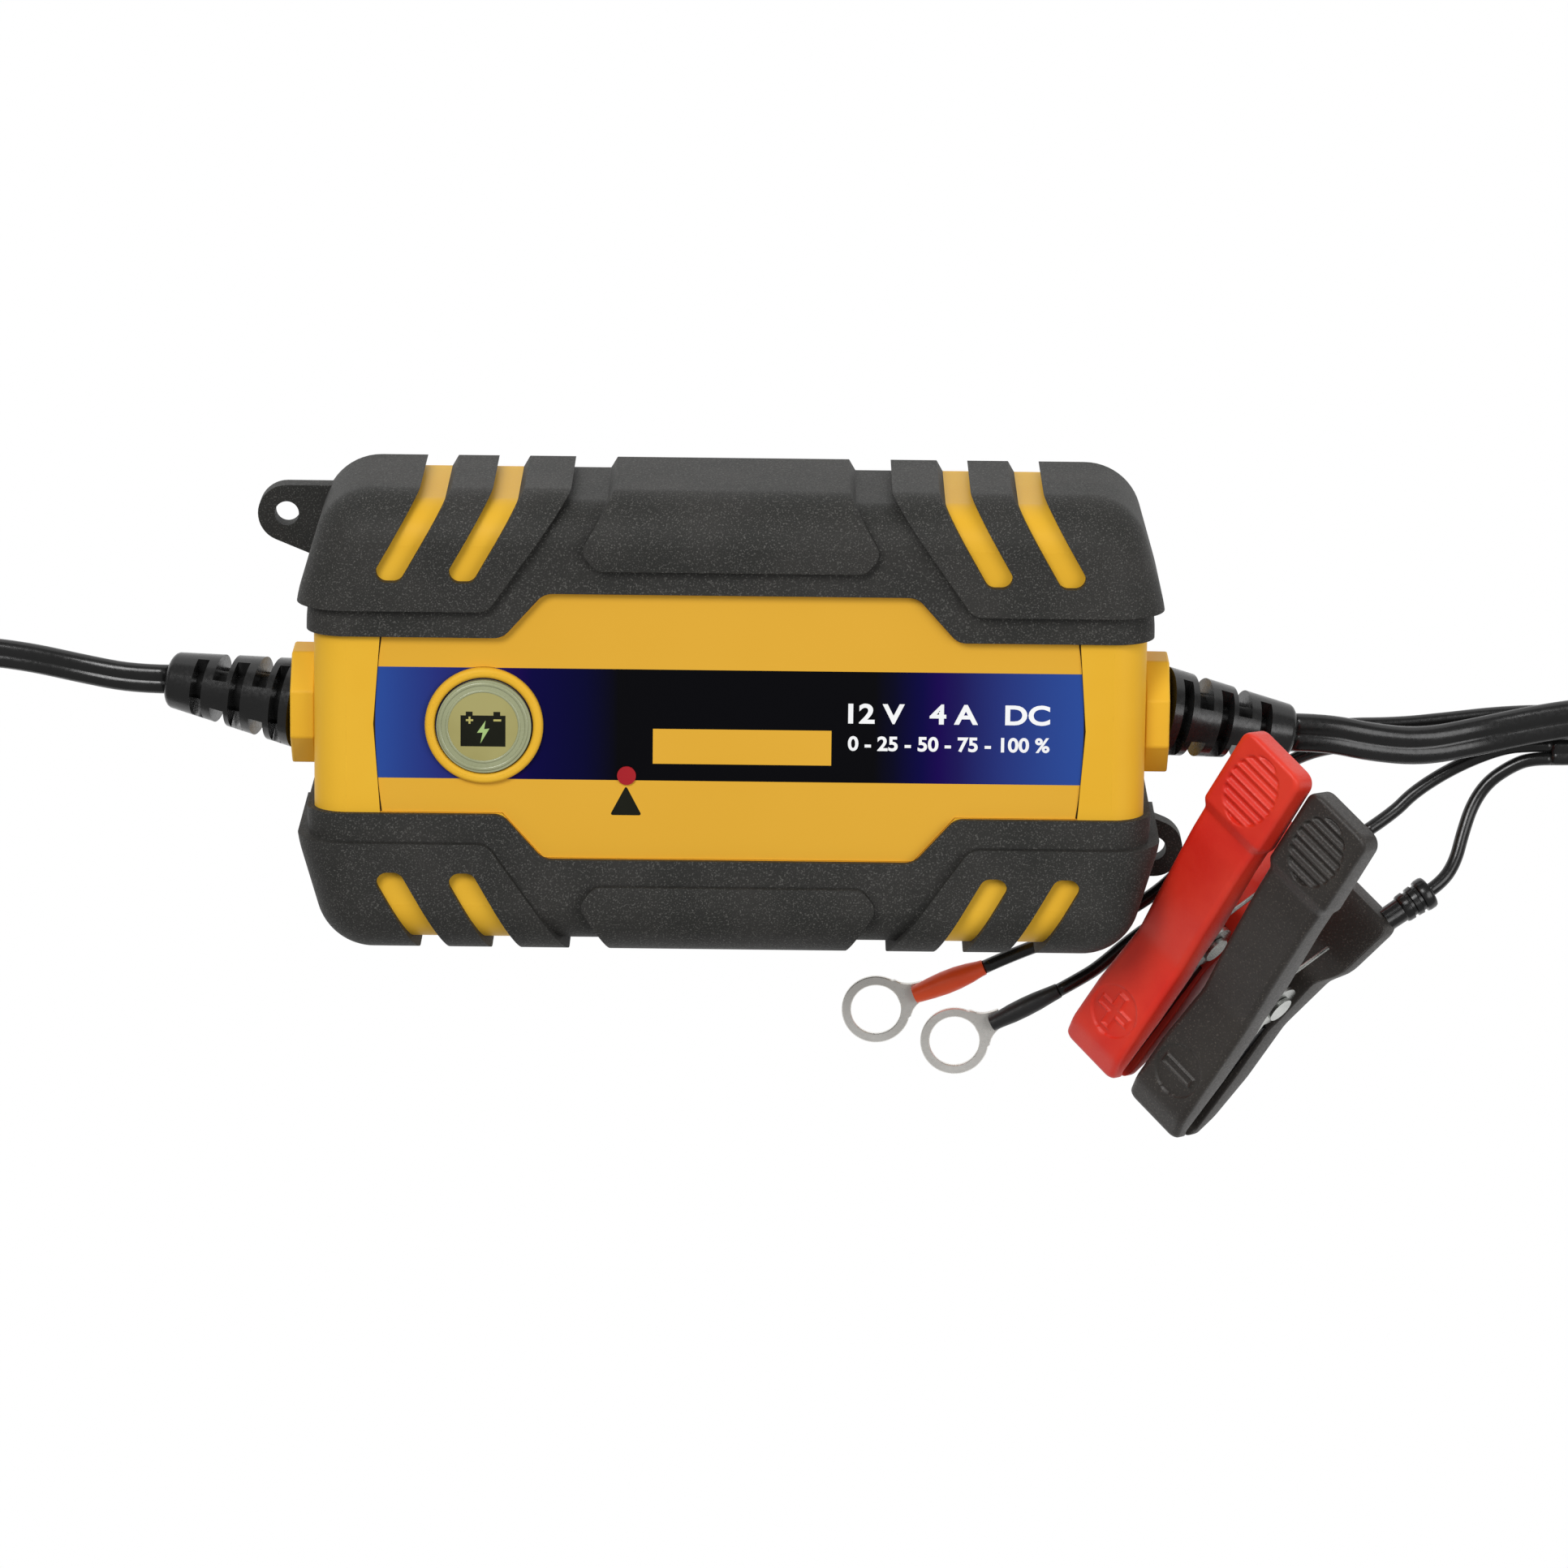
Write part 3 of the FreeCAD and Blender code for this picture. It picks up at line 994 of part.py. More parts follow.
def cover(name, side, handle, spread):
    """One plastic half: jaw cover and handle in one piece."""
    s = "%d * " % side
    rise = "(%s + 1.5 - jaw_deep)" % spread
    crest = "jaw_deep + 0.62 * %s" % rise
    profile = [("-jaw_long", s + "0.8"), ("-jaw_long", s + "(jaw_deep - 5)"),
               ("-jaw_long + 5.5", s + "(jaw_deep - 2)"), ("-jaw_long + 17", s + "(jaw_deep - 0.4)"),
               ("-5", s + "jaw_deep"), ("8", s + "(jaw_deep + 0.3 * %s)" % rise),
               ("0.48 * %s" % handle, s + "(%s)" % crest), (handle, s + "(%s + 1.5)" % spread),
               ("%s + 0.6" % handle, s + "(%s - 1)" % spread),
               ("%s - 1" % handle, s + "(%s + 1 - handle_thick)" % spread),
               ("0.48 * %s" % handle, s + "(%s - handle_thick - 0.6)" % crest), ("8", s + "5.5"),
               ("-3", s + "3.5"), ("-7", s + "jaw_side"), ("-jaw_long + steel", s + "jaw_side"),
               ("-jaw_long + steel", s + "0.8")]
    long_side = prism(name + "_side", "XZ_Plane", profile, "clamp_wide + 4", middle=True)
    notch = rod(name + "_notch", "notch_round", "clamp_wide + 6", "0", "-clamp_wide / 2 - 3", "0", "y")
    return cut(name, common(name + "_blank", long_side, plan(name + "_plan")), notch)


def jaw(name, side, across, play):
    """One sheet metal jaw: a channel under the cover and two cheeks around the pin."""
    s = "%d * " % side
    near_z = "%d * jaw_gap" % side
    far_z = "%d * jaw_side" % side
    low_z = near_z if side > 0 else far_z
    tall = "jaw_side - jaw_gap"
    front = "-jaw_long + steel"
    back = "-cheek_round - 1.2"
    long = "(%s) - (%s)" % (back, front)
    middle = "((%s) + (%s)) / 2" % (back, front)
    web_z = far_z + (" - steel" if side > 0 else "")
    pieces = [block(name + "_web", long, "jaw_wide", "steel", middle, "0", web_z)]
    teeth = []
    for k in (-1, 1):
        y = "%d * (jaw_wide - steel) / 2" % k
        cheek_y = "%d * (%s) / 2" % (k, across)
        pieces.append(block("%s_flank_%d" % (name, k + 1), long, "steel", tall, middle, y, low_z))
        reach = "(%s) * -1 + 4" % back
        pieces.append(block("%s_arm_%d" % (name, k + 1), reach, "steel", tall, "-(%s) / 2" % reach, cheek_y, low_z))
        pieces.append(rod("%s_cheek_%d" % (name, k + 1), "cheek_round", "steel", "0",
                          "(%s) - steel / 2" % cheek_y, "0", "y"))
    for k in range(6):
        teeth.append(block("%s_tooth_gap_%d" % (name, k), "1.2", "jaw_wide + 2", "0.9",
                           "-jaw_long + 4 + %d * 3.2" % k, "0", near_z + (" - 0.2" if side > 0 else " - 0.7")))
    bore = rod(name + "_bore", "pin_round" + play, "jaw_wide + 6", "0", "-jaw_wide / 2 - 3", "0", "y")
    return cut(name, fuse(name + "_blank", *pieces), bore, *teeth)


OUTER_CHEEKS = "jaw_wide - steel"
INNER_CHEEKS = "jaw_wide - 3 * steel - 2 * cheek_play"
clamp_pieces = {
    "upper_grip": cover("upper_cover", 1, "upper_handle", "upper_spread"),
    "lower_grip": cover("lower_cover", -1, "lower_handle", "lower_spread"),
    "upper_jaw": jaw("upper_steel", 1, OUTER_CHEEKS, " + pin_play"),
    "lower_jaw": jaw("lower_steel", -1, INNER_CHEEKS, ""),
    "rivet": fuse("pin_body",
                  rod("pin_shank", "pin_round", "jaw_wide + 2 * cheek_play", "0", "-jaw_wide / 2 - cheek_play", "0", "y"),
                  rod("pin_head_left", "pin_head", "pin_head_thick", "0", "jaw_wide / 2 + cheek_play", "0", "y"),
                  rod("pin_head_right", "pin_head", "pin_head_thick", "0",
                      "-jaw_wide / 2 - cheek_play - pin_head_thick", "0", "y")),
}
spring_turns = 5 - size("spring_start") / 180
spring_at = -spring_turns / 2


def spring_place(t):
    """The clamp spring: a close coil around the pin."""
    angle = math.radians(size("spring_start")) + 2 * math.pi * t
    return V(size("spring_round") * math.cos(angle), size("spring_pitch") * (t + spring_at),
             size("spring_round") * math.sin(angle))


spring_shape, spring_length, *ends = swept([spring_turns * k / 19 for k in range(20)], spring_place,
                                           size("spring_lower_leg"), size("spring_upper_leg"), size("spring_wire") / 2)
print("clamp spring: length %.1f, gap between turns %.2f, volume %.3f" % (
    spring_length, size("spring_pitch") - size("spring_wire"),
    spring_shape.Volume / (math.pi * size("spring_wire") ** 2 / 4 * spring_length)))
clamp_pieces["spring"] = document.addObject("Part::Feature", "spring_wire_body")
clamp_pieces["spring"].Shape = spring_shape


def boot_body():
    """A ribbed boot along +X from where it meets the lower handle."""
    r, long = size("boot_wide") / 2, size("boot_long")
    body = Part.makeCone(r - 0.5, r - 1.0, long, V(), V(1, 0, 0))
    for k in range(4):
        body = body.fuse(Part.makeCylinder(r - 0.1 * k, long * 0.15, V(long * (0.02 + 0.26 * k), 0, 0), V(1, 0, 0)))
    return body


boot_feature = document.addObject("Part::Feature", "boot_body")
boot_feature.Shape = boot_body()
pins = {"black": V(size("black_clamp_x"), size("black_clamp_y"), size("clamp_pin_up"))}
along = V(math.cos(math.radians(CLAMP_TURN[0])), math.sin(math.radians(CLAMP_TURN[0])), 0)
aside = V(-along.y, along.x, 0)
shift = along * size("clamp_stagger") - V(0, 0, size("clamp_lean"))
flat_way = FreeCAD.Rotation(*CLAMP_TURN).multVec(V(0, 1, 0))
step = (size("clamp_wide") + size("clamp_gap") - shift.dot(flat_way)) / aside.dot(flat_way)
pins["red"] = pins["black"] + shift + aside * step
boots = {}
for colour in ("red", "black"):
    pose = FreeCAD.Placement(pins[colour], FreeCAD.Rotation(*CLAMP_TURN))
    for piece, thing in clamp_pieces.items():
        whole = document.addObject("Part::Compound", "%s_%s_group" % (colour, piece))
        whole.Links = [thing]
        whole.Placement = pose
        keep("%s_clamp_%s" % (colour, piece) if piece in ("rivet", "spring") else "%s_%s" % (colour, piece), whole)
    end = V(size("lower_handle") - 0.4, -size("boot_side"), -size("lower_spread") + 2.4)
    way = V(*(size(name) for name in ("boot_ahead", "boot_across", "boot_down")))
    way.normalize()
    start = pose.multVec(end)
    grip = next(thing for thing in parts if thing.Label == colour + "_lower_grip")
    way = FreeCAD.Rotation(CLAMP_TURN[0], 0, 0).multVec(way)
    boot = document.addObject("Part::Compound", colour + "_boot_group")
    boot.Links = [boot_feature]
    boot.Placement = FreeCAD.Placement(start, FreeCAD.Rotation(V(1, 0, 0), way))
    keep(colour + "_boot", cut(colour + "_boot_fitted", boot, grip))
    boots[colour] = (start + way * size("boot_long"), way)
    print("%s clamp: pin %s, boot end %s along %s" % (colour, pins[colour], boots[colour][0], way))


# Clamp leads, their common flat lead and its connector

w, thick = size("harness_wide"), size("harness_thick")
floor_z = thick / 2


def around(centre, radius, first, last, count):
    """Corners of a route that follows an arc on the floor, angles in degrees."""
    step = math.radians(last - first) / count
    out = radius / math.cos(step / 2)
    return [(centre[0] + out * math.cos(math.radians(first) + step * (k + 0.5)),
             centre[1] + out * math.sin(math.radians(first) + step * (k + 0.5)), floor_z) for k in range(count)]


meet = (174.0, -12.4, floor_z)
first_bend, second_bend = (188.8, -40.5), (244.8, -47.5)
side_step = w / 4


def sloping(place, ways):
    """Points of a lead that comes down to the floor; each is x, y and the share of the height left."""
    return [(x, y, floor_z + share * (place.z - floor_z)) for x, y, share in ways]


def on_from(place, way, distance):
    """A point straight on from where a lead starts."""
    return tuple(place + way * distance)


place, way = boots["red"]
red_y, black_y = meet[1] + side_step, meet[1] - side_step
tube("red_clamp_lead", [tuple(place), on_from(place, way, 7.5)]
     + sloping(place, [(144.5, -21.5, 0.4), (150.5, -17.6, 0.1), (157.0, -14.2, 0), (164.0, -11.5, 0),
                       (169.5, red_y, 0), (meet[0], red_y, 0)]), thick)
place, way = boots["black"]
tube("black_clamp_lead", [tuple(place), on_from(place, way, 3.6)]
     + sloping(place, [(153.9, -35.3, 0.62), (155.5, -29.6, 0.32), (157.5, -23.9, 0.08), (160.6, -19.2, 0),
                       (165.0, -15.9, 0), (169.5, black_y, 0), (meet[0], black_y, 0)]), thick)
pair_end = (second_bend[0] + 15.5, second_bend[1] - 27.0, floor_z)
tube("clamp_lead_pair", [meet, (179.0, meet[1], floor_z)] + around(first_bend, 29.0, 90, 0, 6)
     + around(second_bend, 27.0, 180, 270, 5) + [pair_end], w, thick)
connector_lift = V(0, 0, size("connector_thick") / 2 - floor_z)


def low_connector(name, label, place, heading):
    """A connector half on the floor, where a lead comes in low."""
    return laid(label, quick_connector(name), V(*place) + connector_lift, heading)


low_connector("clamp_half", "clamp_connector", pair_end, 0.0)

# Ring terminals and their leads

ring_places = {"red": (V(31.6, -70.8, 0), 24.0), "black": (V(48.5, -77.6, 0), 28.7)}
eyes = []
for colour, (place, heading) in ring_places.items():
    disc = rod(colour + "_ring_disc", "ring_wide / 2", "ring_thick")
    tongue = block(colour + "_ring_tongue", "ring_reach", "ring_neck", "ring_thick", "ring_reach / 2")
    eye = cut(colour + "_ring", fuse(colour + "_ring_blank", disc, tongue),
              rod(colour + "_ring_bore", "ring_bore / 2", "ring_thick + 2", "0", "0", "-1"))
    eye.Placement = FreeCAD.Placement(place, FreeCAD.Rotation(heading, 0, 0))
    eyes.append(eye)
    sleeve = rod(colour + "_sleeve_body", "sleeve_wide / 2", "sleeve_long", axis="x")
    whole = document.addObject("Part::Compound", colour + "_sleeve_group")
    whole.Links = [sleeve]
    way = V(math.cos(math.radians(heading)), math.sin(math.radians(heading)), 0)
    whole.Placement = FreeCAD.Placement(place + way * size("ring_reach") + V(0, 0, size("sleeve_wide") / 2),
                                        FreeCAD.Rotation(heading, 0, 0))
    keep(colour + "_ring_sleeve", whole)
    ring_places[colour] = (whole.Placement.Base + way * size("sleeve_long"), way)
terminals = document.addObject("Part::Compound", "ring_group")
terminals.Links = eyes
keep("ring_terminals", terminals)
half_pitch = thick / 2 + 0.1
RING_OUTER, RING_INNER = 35.3, 20.7
turned = math.radians(305)
ring_end = {}
for colour, hand in (("red", -1), ("black", 1)):
    radius = RING_INNER + hand * half_pitch
    ring_end[colour] = (second_bend[0] + radius * math.cos(turned), second_bend[1] + radius * math.sin(turned))
ring_way = V(math.cos(turned + math.pi / 2), math.sin(turned + math.pi / 2), 0)
start, way = ring_places["red"]
red_route = [tuple(start), on_from(start, way, 7), (71.5, -53.9, floor_z), (80.5, -50.7, floor_z),
             (88.3, -46.2, floor_z), (95.2, -40.4, floor_z), (100.5, -32.7, floor_z), (104.6, -24.1, floor_z),
             (109.8, -15.8, floor_z), (117.6, -9.6, floor_z), (128.5, -6.9, floor_z), (141.0, -6.7, floor_z),
             (152.0, -5.4, floor_z), (162.0, -4.1, floor_z), (173.0, -3.5, floor_z)]
start, way = ring_places["black"]
black_route = [tuple(start), on_from(start, way, 6), (79.2, -60.6, floor_z), (86.4, -54.0, floor_z),
               (93.4, -49.1, floor_z), (99.8, -43.0, floor_z), (104.6, -35.0, floor_z), (108.4, -26.4, floor_z),
               (113.2, -19.0, floor_z), (120.6, -13.6, floor_z), (130.0, -11.3, floor_z), (141.5, -11.0, floor_z),
               (152.6, -8.8, floor_z), (162.6, -7.4, floor_z), (173.4, -6.8, floor_z)]
for colour, hand, begin in (("red", -1, red_route), ("black", 1, black_route)):
    outer = RING_OUTER - hand * half_pitch
    inner = RING_INNER + hand * half_pitch
    x, y = ring_end[colour]
    tail = (x + ring_way.x * 7, y + ring_way.y * 7, floor_z)
    tube(colour + "_ring_lead", begin + around(first_bend, outer, 90, 0, 4) + around(second_bend, inner, 180, 305, 4)
         + [tail], thick)
middle = V(*ring_end["red"], floor_z) * 0.5 + V(*ring_end["black"], floor_z) * 0.5 + ring_way * 7
low_connector("ring_half", "ring_connector", tuple(middle), heading_of(ring_way))

document.recompute()
bad = []
for thing in document.Objects:
    if "Invalid" in thing.State or "Error" in thing.State:
        bad.append("%s is %s" % (thing.Name, thing.State))
for thing in parts:
    if thing.Shape.isNull() or not thing.Shape.isValid():
        bad.append("%s has a bad shape" % thing.Label)
if bad:
    raise SystemExit("\n".join(bad))
os.makedirs("parts", exist_ok=True)
for thing in parts:
    thing.Shape.exportStep("parts/%s.step" % thing.Label)
print("%d pieces written" % len(parts))
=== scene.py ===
import json
import math

import bmesh
import bpy
import numpy
from mathutils import Matrix, Vector


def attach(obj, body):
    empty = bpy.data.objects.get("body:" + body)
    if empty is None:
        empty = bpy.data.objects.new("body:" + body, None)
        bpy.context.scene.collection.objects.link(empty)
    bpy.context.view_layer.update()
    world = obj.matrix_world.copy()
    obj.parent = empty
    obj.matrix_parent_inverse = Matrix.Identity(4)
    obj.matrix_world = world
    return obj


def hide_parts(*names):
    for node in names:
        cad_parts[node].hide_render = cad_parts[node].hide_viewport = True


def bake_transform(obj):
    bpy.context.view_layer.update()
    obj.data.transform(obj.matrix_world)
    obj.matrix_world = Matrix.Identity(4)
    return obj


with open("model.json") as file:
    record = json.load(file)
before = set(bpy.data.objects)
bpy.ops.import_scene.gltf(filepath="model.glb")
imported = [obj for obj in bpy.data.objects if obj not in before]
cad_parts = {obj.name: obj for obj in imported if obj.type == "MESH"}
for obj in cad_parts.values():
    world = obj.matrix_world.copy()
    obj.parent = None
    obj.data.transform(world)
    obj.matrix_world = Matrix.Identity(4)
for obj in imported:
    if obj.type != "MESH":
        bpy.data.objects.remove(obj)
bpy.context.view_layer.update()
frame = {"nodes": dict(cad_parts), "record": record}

# A car battery charger on its back, seen from above its top edge. Sizes here are in millimetres until
# a mesh is made; x runs to the right, y up the front of the charger and z off the floor.
MM = 0.001


def placed(name, data):
    """A new object in the scene, at the origin."""
    thing = bpy.data.objects.new(name, data)
    bpy.context.scene.collection.objects.link(thing)
    return thing


# Camera

# It looks down at the panel, tilted to its top edge. FAR is in metres, SENSOR and LENS in millimetres.
TILT = math.radians(13.7)
ROLL = math.radians(0.65)
AIM = Vector((11.4, -21.65, 0.0)) * MM
FAR = 1.6
CLIP_END = 20.0
SENSOR = 36.0
LENS = 172.92

camera = placed("camera", bpy.data.cameras.new("camera"))
camera.data.sensor_width = SENSOR
camera.data.lens = LENS
camera.data.clip_end = CLIP_END
turned_back = Matrix.Rotation(-TILT, 4, "X") @ Matrix.Rotation(ROLL, 4, "Z")
camera.matrix_world = Matrix.Translation(AIM) @ turned_back @ Matrix.Translation((0.0, 0.0, FAR))
bpy.context.scene.camera = camera

# Materials


def srgb(code):
    """A colour written as six hexadecimal digits, as the linear values that a shader takes."""
    parts = [int(code[k:k + 2], 16) / 255 for k in (0, 2, 4)]
    linear = [part / 12.92 if part <= 0.04045 else ((part + 0.055) / 1.055) ** 2.4 for part in parts]
    return (*linear, 1.0)


def add(tree, kind, inputs=None, stops=(), **options):
    """A new shader node. Options are its properties, an input is a value or another node's output, and stops
    are a colour ramp's (position, colour) pairs."""
    made = tree.nodes.new(kind)
    for name, value in options.items():
        setattr(made, name, value)
    for name, value in (inputs or {}).items():
        if isinstance(value, bpy.types.NodeSocket):
            tree.links.new(value, made.inputs[name])
        else:
            made.inputs[name].default_value = value
    if stops:
        elements = made.color_ramp.elements
        while len(elements) < len(stops):
            elements.new(0.5)
        for element, (position, colour) in zip(elements, stops):
            element.position, element.color = position, colour
    return made


def grey(value):
    """A linear grey as a shader takes it."""
    return (value, value, value, 1.0)


def per(size):
    """The texture scale that gives a feature of a size in millimetres, since coordinates are in metres."""
    return 1.0 / (size * MM)


def blank_material(name):
    """A new material with an empty node tree, and the tree."""
    material = bpy.data.materials.new(name)
    material.use_nodes = True
    material.node_tree.nodes.clear()
    return material, material.node_tree


def finish(name, dark, light, rough, rough_high, grain, depth, patch=14.0, flecks=None, stretch=None,
           **shader):
    """A surface between two colours in soft patches, with its roughness between two values and a fine bump.

    patch and grain are the sizes of the patches and of the bump, and depth is the bump's height, all in
    millimetres. flecks are a colour, a size and a share, and stretch multiplies the axes. The noise is mostly
    between 0.3 and 0.7, so that is what the ramps spread."""
    material, tree = blank_material(name)
    here = add(tree, "ShaderNodeTexCoord").outputs["Object"]
    if stretch:
        here = add(tree, "ShaderNodeMapping", {"Vector": here, "Scale": stretch}).outputs["Vector"]
    broad = add(tree, "ShaderNodeTexNoise", {"Vector": here, "Scale": per(patch), "Detail": 3.0})
    fine = add(tree, "ShaderNodeTexNoise", {"Vector": here, "Scale": per(grain), "Detail": 2.0})
    shades = [(0.35, srgb(dark)), (0.65, srgb(light))]
    colour = add(tree, "ShaderNodeValToRGB", {"Fac": broad.outputs["Fac"]}, shades).outputs["Color"]
    if flecks:
        fleck, size, share = flecks
        spots = add(tree, "ShaderNodeTexNoise", {"Vector": here, "Scale": per(size), "Detail": 1.0})
        edge = [(1.0 - share, grey(0.0)), (1.0 - share * 0.6, grey(1.0))]
        where = add(tree, "ShaderNodeValToRGB", {"Fac": spots.outputs["Fac"]}, edge).outputs["Color"]
        mixed = add(tree, "ShaderNodeMix", {"Factor": where, "A": colour, "B": srgb(fleck)}, data_type="RGBA")
        colour = mixed.outputs["Result"]
    gloss = add(tree, "ShaderNodeMapRange", {"Value": fine.outputs["Fac"], "From Min": 0.3, "From Max": 0.7,
                                            "To Min": rough, "To Max": rough_high})
    bump = add(tree, "ShaderNodeBump", {"Height": fine.outputs["Fac"], "Distance": depth * MM,
                                        "Strength": 1.0})
    values = {"Base Color": colour, "Roughness": gloss.outputs["Result"], "Normal": bump.outputs["Normal"]}
    values.update(shader)
    surface = add(tree, "ShaderNodeBsdfPrincipled", values)
    add(tree, "ShaderNodeOutputMaterial", {"Surface": surface.outputs["BSDF"]})
    return material


def metal(name, dark, light, rough, rough_high, grain, depth, **options):
    """The same surface in bare metal."""
    return finish(name, dark, light, rough, rough_high, grain, depth, Metallic=1.0, **options)


# The real grain of moulded skins is too fine to show here, so it is drawn 0.3 to 0.8 mm coarse.

# How little the satin plastic, the film, the inks and the lamp shine back.
DULL = {"Specular IOR Level": 0.12}

# Satin moulded housing: even golden yellow with a barely rough skin.
yellow = finish("moulded_yellow", "E7B130", "EBB838", 0.4, 0.5, 0.35, 0.004, patch=30.0, **DULL)
# Soft rubber bumper: charcoal with the fine pale speckle of its textured skin.
rubber = finish("textured_rubber", "2A2A28", "32312F", 0.56, 0.7, 0.4, 0.05, flecks=("5A5956", 0.32, 0.44),
                **{"Specular IOR Level": 0.22})
# Hard black plastic of the back cover and the small moulded parts, satin from the mould.
black = finish("moulded_black", "1B1B1C", "232324", 0.38, 0.5, 0.3, 0.012)
# Spark-textured black grip of the clamp.
black_grip = finish("textured_black_grip", "282421", "302C28", 0.42, 0.56, 0.45, 0.05,
                    flecks=("524C46", 0.4, 0.4))
# Spark-textured red grip of the clamp.
red_grip = finish("textured_red_grip", "D92413", "E4361F", 0.4, 0.54, 0.45, 0.03)
# Dull grey moulded rubber of the seal under the cover.
seal = finish("grey_seal", "4C4D50", "5A5B5E", 0.6, 0.75, 0.6, 0.03)
# Bright zinc plating with faint rolling marks.
zinc = metal("zinc_plating", "A9ABA8", "C8C9C5", 0.24, 0.36, 0.5, 0.01, stretch=(1.0, 3.0, 1.0))
# Steel blackened in a bath, slightly oily.
dark_steel = metal("blackened_steel", "303133", "454649", 0.3, 0.44, 0.5, 0.012)
# Printed film on the panel: flat golden yellow under a satin coat.
film = finish("printed_film", "E1AB36", "E4AE3A", 0.4, 0.46, 0.5, 0.002, patch=60.0, **DULL)
# Smoky clear plastic of the button cap, glossy.
smoke = finish("smoky_cap", "979B78", "A0A481", 0.22, 0.3, 0.6, 0.004, **{"Coat Weight": 0.3})
# Olive disc that carries the button's symbols.
olive = finish("olive_disc", "A0985D", "A9A267", 0.3, 0.38, 0.6, 0.004)
# Flat red lens of the lamp, which isn't lit.
lens_red = finish("red_lens", "9E1F27", "A8262D", 0.25, 0.32, 1.0, 0.004, **DULL)
# Circuit boards with a glossy green solder mask.
board = finish("solder_mask", "0C4526", "12532E", 0.25, 0.36, 0.8, 0.01)
# Cast body of an indicator LED, milky and smooth.
clear = finish("milky_led", "CFD0CA", "E0E1DC", 0.15, 0.22, 0.8, 0.004, **{"Transmission Weight": 0.3})
# Fired ferrite core, dark and dull.
ferrite = finish("dull_ferrite", "242527", "323336", 0.55, 0.7, 0.6, 0.03)
# Enamelled wire, wound in fine even rows.
copper = metal("enamelled_wire", "9E5423", "C4763A", 0.25, 0.38, 0.5, 0.05, stretch=(1.0, 1.0, 6.0))
# Shrunk plastic sleeve of a capacitor, nearly black and smooth.
can = finish("shrunk_sleeve", "10121A", "191C27", 0.22, 0.3, 0.8, 0.006)
# Glazed ceramic of the fuse, pale and glossy.
ceramic = finish("glazed_ceramic", "D6D3C9", "E4E1D8", 0.18, 0.26, 1.0, 0.006)
# Extruded aluminium with fine lines along its length.
aluminium = metal("extruded_aluminium", "B4B6B9", "CBCDD0", 0.28, 0.42, 0.5, 0.012, stretch=(1.0, 0.1, 1.0))
# Glossy black vinyl of the cords, the cable guards, the black boot and the moulded connectors.
vinyl = finish("glossy_black_vinyl", "141414", "1B1B1B", 0.18, 0.3, 0.8, 0.012)
# Softer, slightly duller black tube of the black ring sleeve.
soft_vinyl = finish("soft_black_vinyl", "1A1A1B", "232324", 0.4, 0.52, 0.7, 0.02)
# Orange-red heat-shrink tube, a little uneven where it has shrunk.
shrink_red = finish("red_heat_shrink", "E84E20", "F25C2C", 0.34, 0.46, 1.6, 0.05)
# Bright red vinyl of the red clamp's boot.
boot_red = finish("bright_red_vinyl", "D62A1E", "E23A28", 0.3, 0.42, 0.7, 0.012)
# Rolled brass of the plug's blades, a little worn.
brass = metal("worn_brass", "C79F52", "DDBB70", 0.2, 0.34, 0.5, 0.008)
# Tinned copper of the ring terminals, bright with a milky sheen.
tin = finish("bright_tin", "E2DFD9", "EFEDE8", 0.26, 0.36, 0.7, 0.012, Metallic=0.65)

# Flat inks on the film and on the button, and the dark brown of a painted shadow line where the film meets
# its recess.
white_print, black_print, olive_print, recess_shadow_paint, bolt_print = [
    finish(name, dark, light, 0.35, 0.45, 0.5, 0.002, **DULL) for name, dark, light in (
        ("white_ink", "F3F4F6", "FAFBFC"), ("black_ink", "16170F", "1C1D15"),
        ("pale_olive_ink", "B2AA62", "BAB26A"), ("painted_recess_shadow", "33230F", "3B2A14"),
        ("pale_green_ink", "9DBB72", "A8C47E"))]


def shaded_band(name, stops, rough):
    """Ink whose colour runs along the panel, through (place in millimetres, colour) stops."""
    material, tree = blank_material(name)
    here = add(tree, "ShaderNodeTexCoord").outputs["Object"]
    apart = add(tree, "ShaderNodeSeparateXYZ", {"Vector": here})
    first, last = stops[0][0], stops[-1][0]
    share = add(tree, "ShaderNodeMapRange", {"Value": apart.outputs["X"], "From Min": first * MM,
                                             "From Max": last * MM, "To Min": 0.0, "To Max": 1.0})
    places = [((place - first) / (last - first), srgb(code)) for place, code in stops]
    colour = add(tree, "ShaderNodeValToRGB", {"Fac": share.outputs["Result"]}, places).outputs["Color"]
    surface = add(tree, "ShaderNodeBsdfPrincipled", {"Base Color": colour, "Roughness": rough, **DULL})
    add(tree, "ShaderNodeOutputMaterial", {"Surface": surface.outputs["BSDF"]})
    return material


# Satin ink of the panel's band, blue at its ends and black at its middle.
band_print = shaded_band("blue_to_black_ink", [
    (-73.6, "2B4D9C"), (-66.9, "273F8A"), (-60.2, "252F7A"), (-50.0, "1C1A60"), (-45.0, "17004E"),
    (-40.9, "04003F"), (-30.0, "00002E"), (-23.0, "000004"), (30.0, "000004"), (34.0, "00001F"),
    (39.8, "040042"), (43.5, "160050"), (47.4, "1A1457"), (57.0, "25347B"), (65.9, "29448F"),
    (73.6, "2B4C9B")], 0.4)

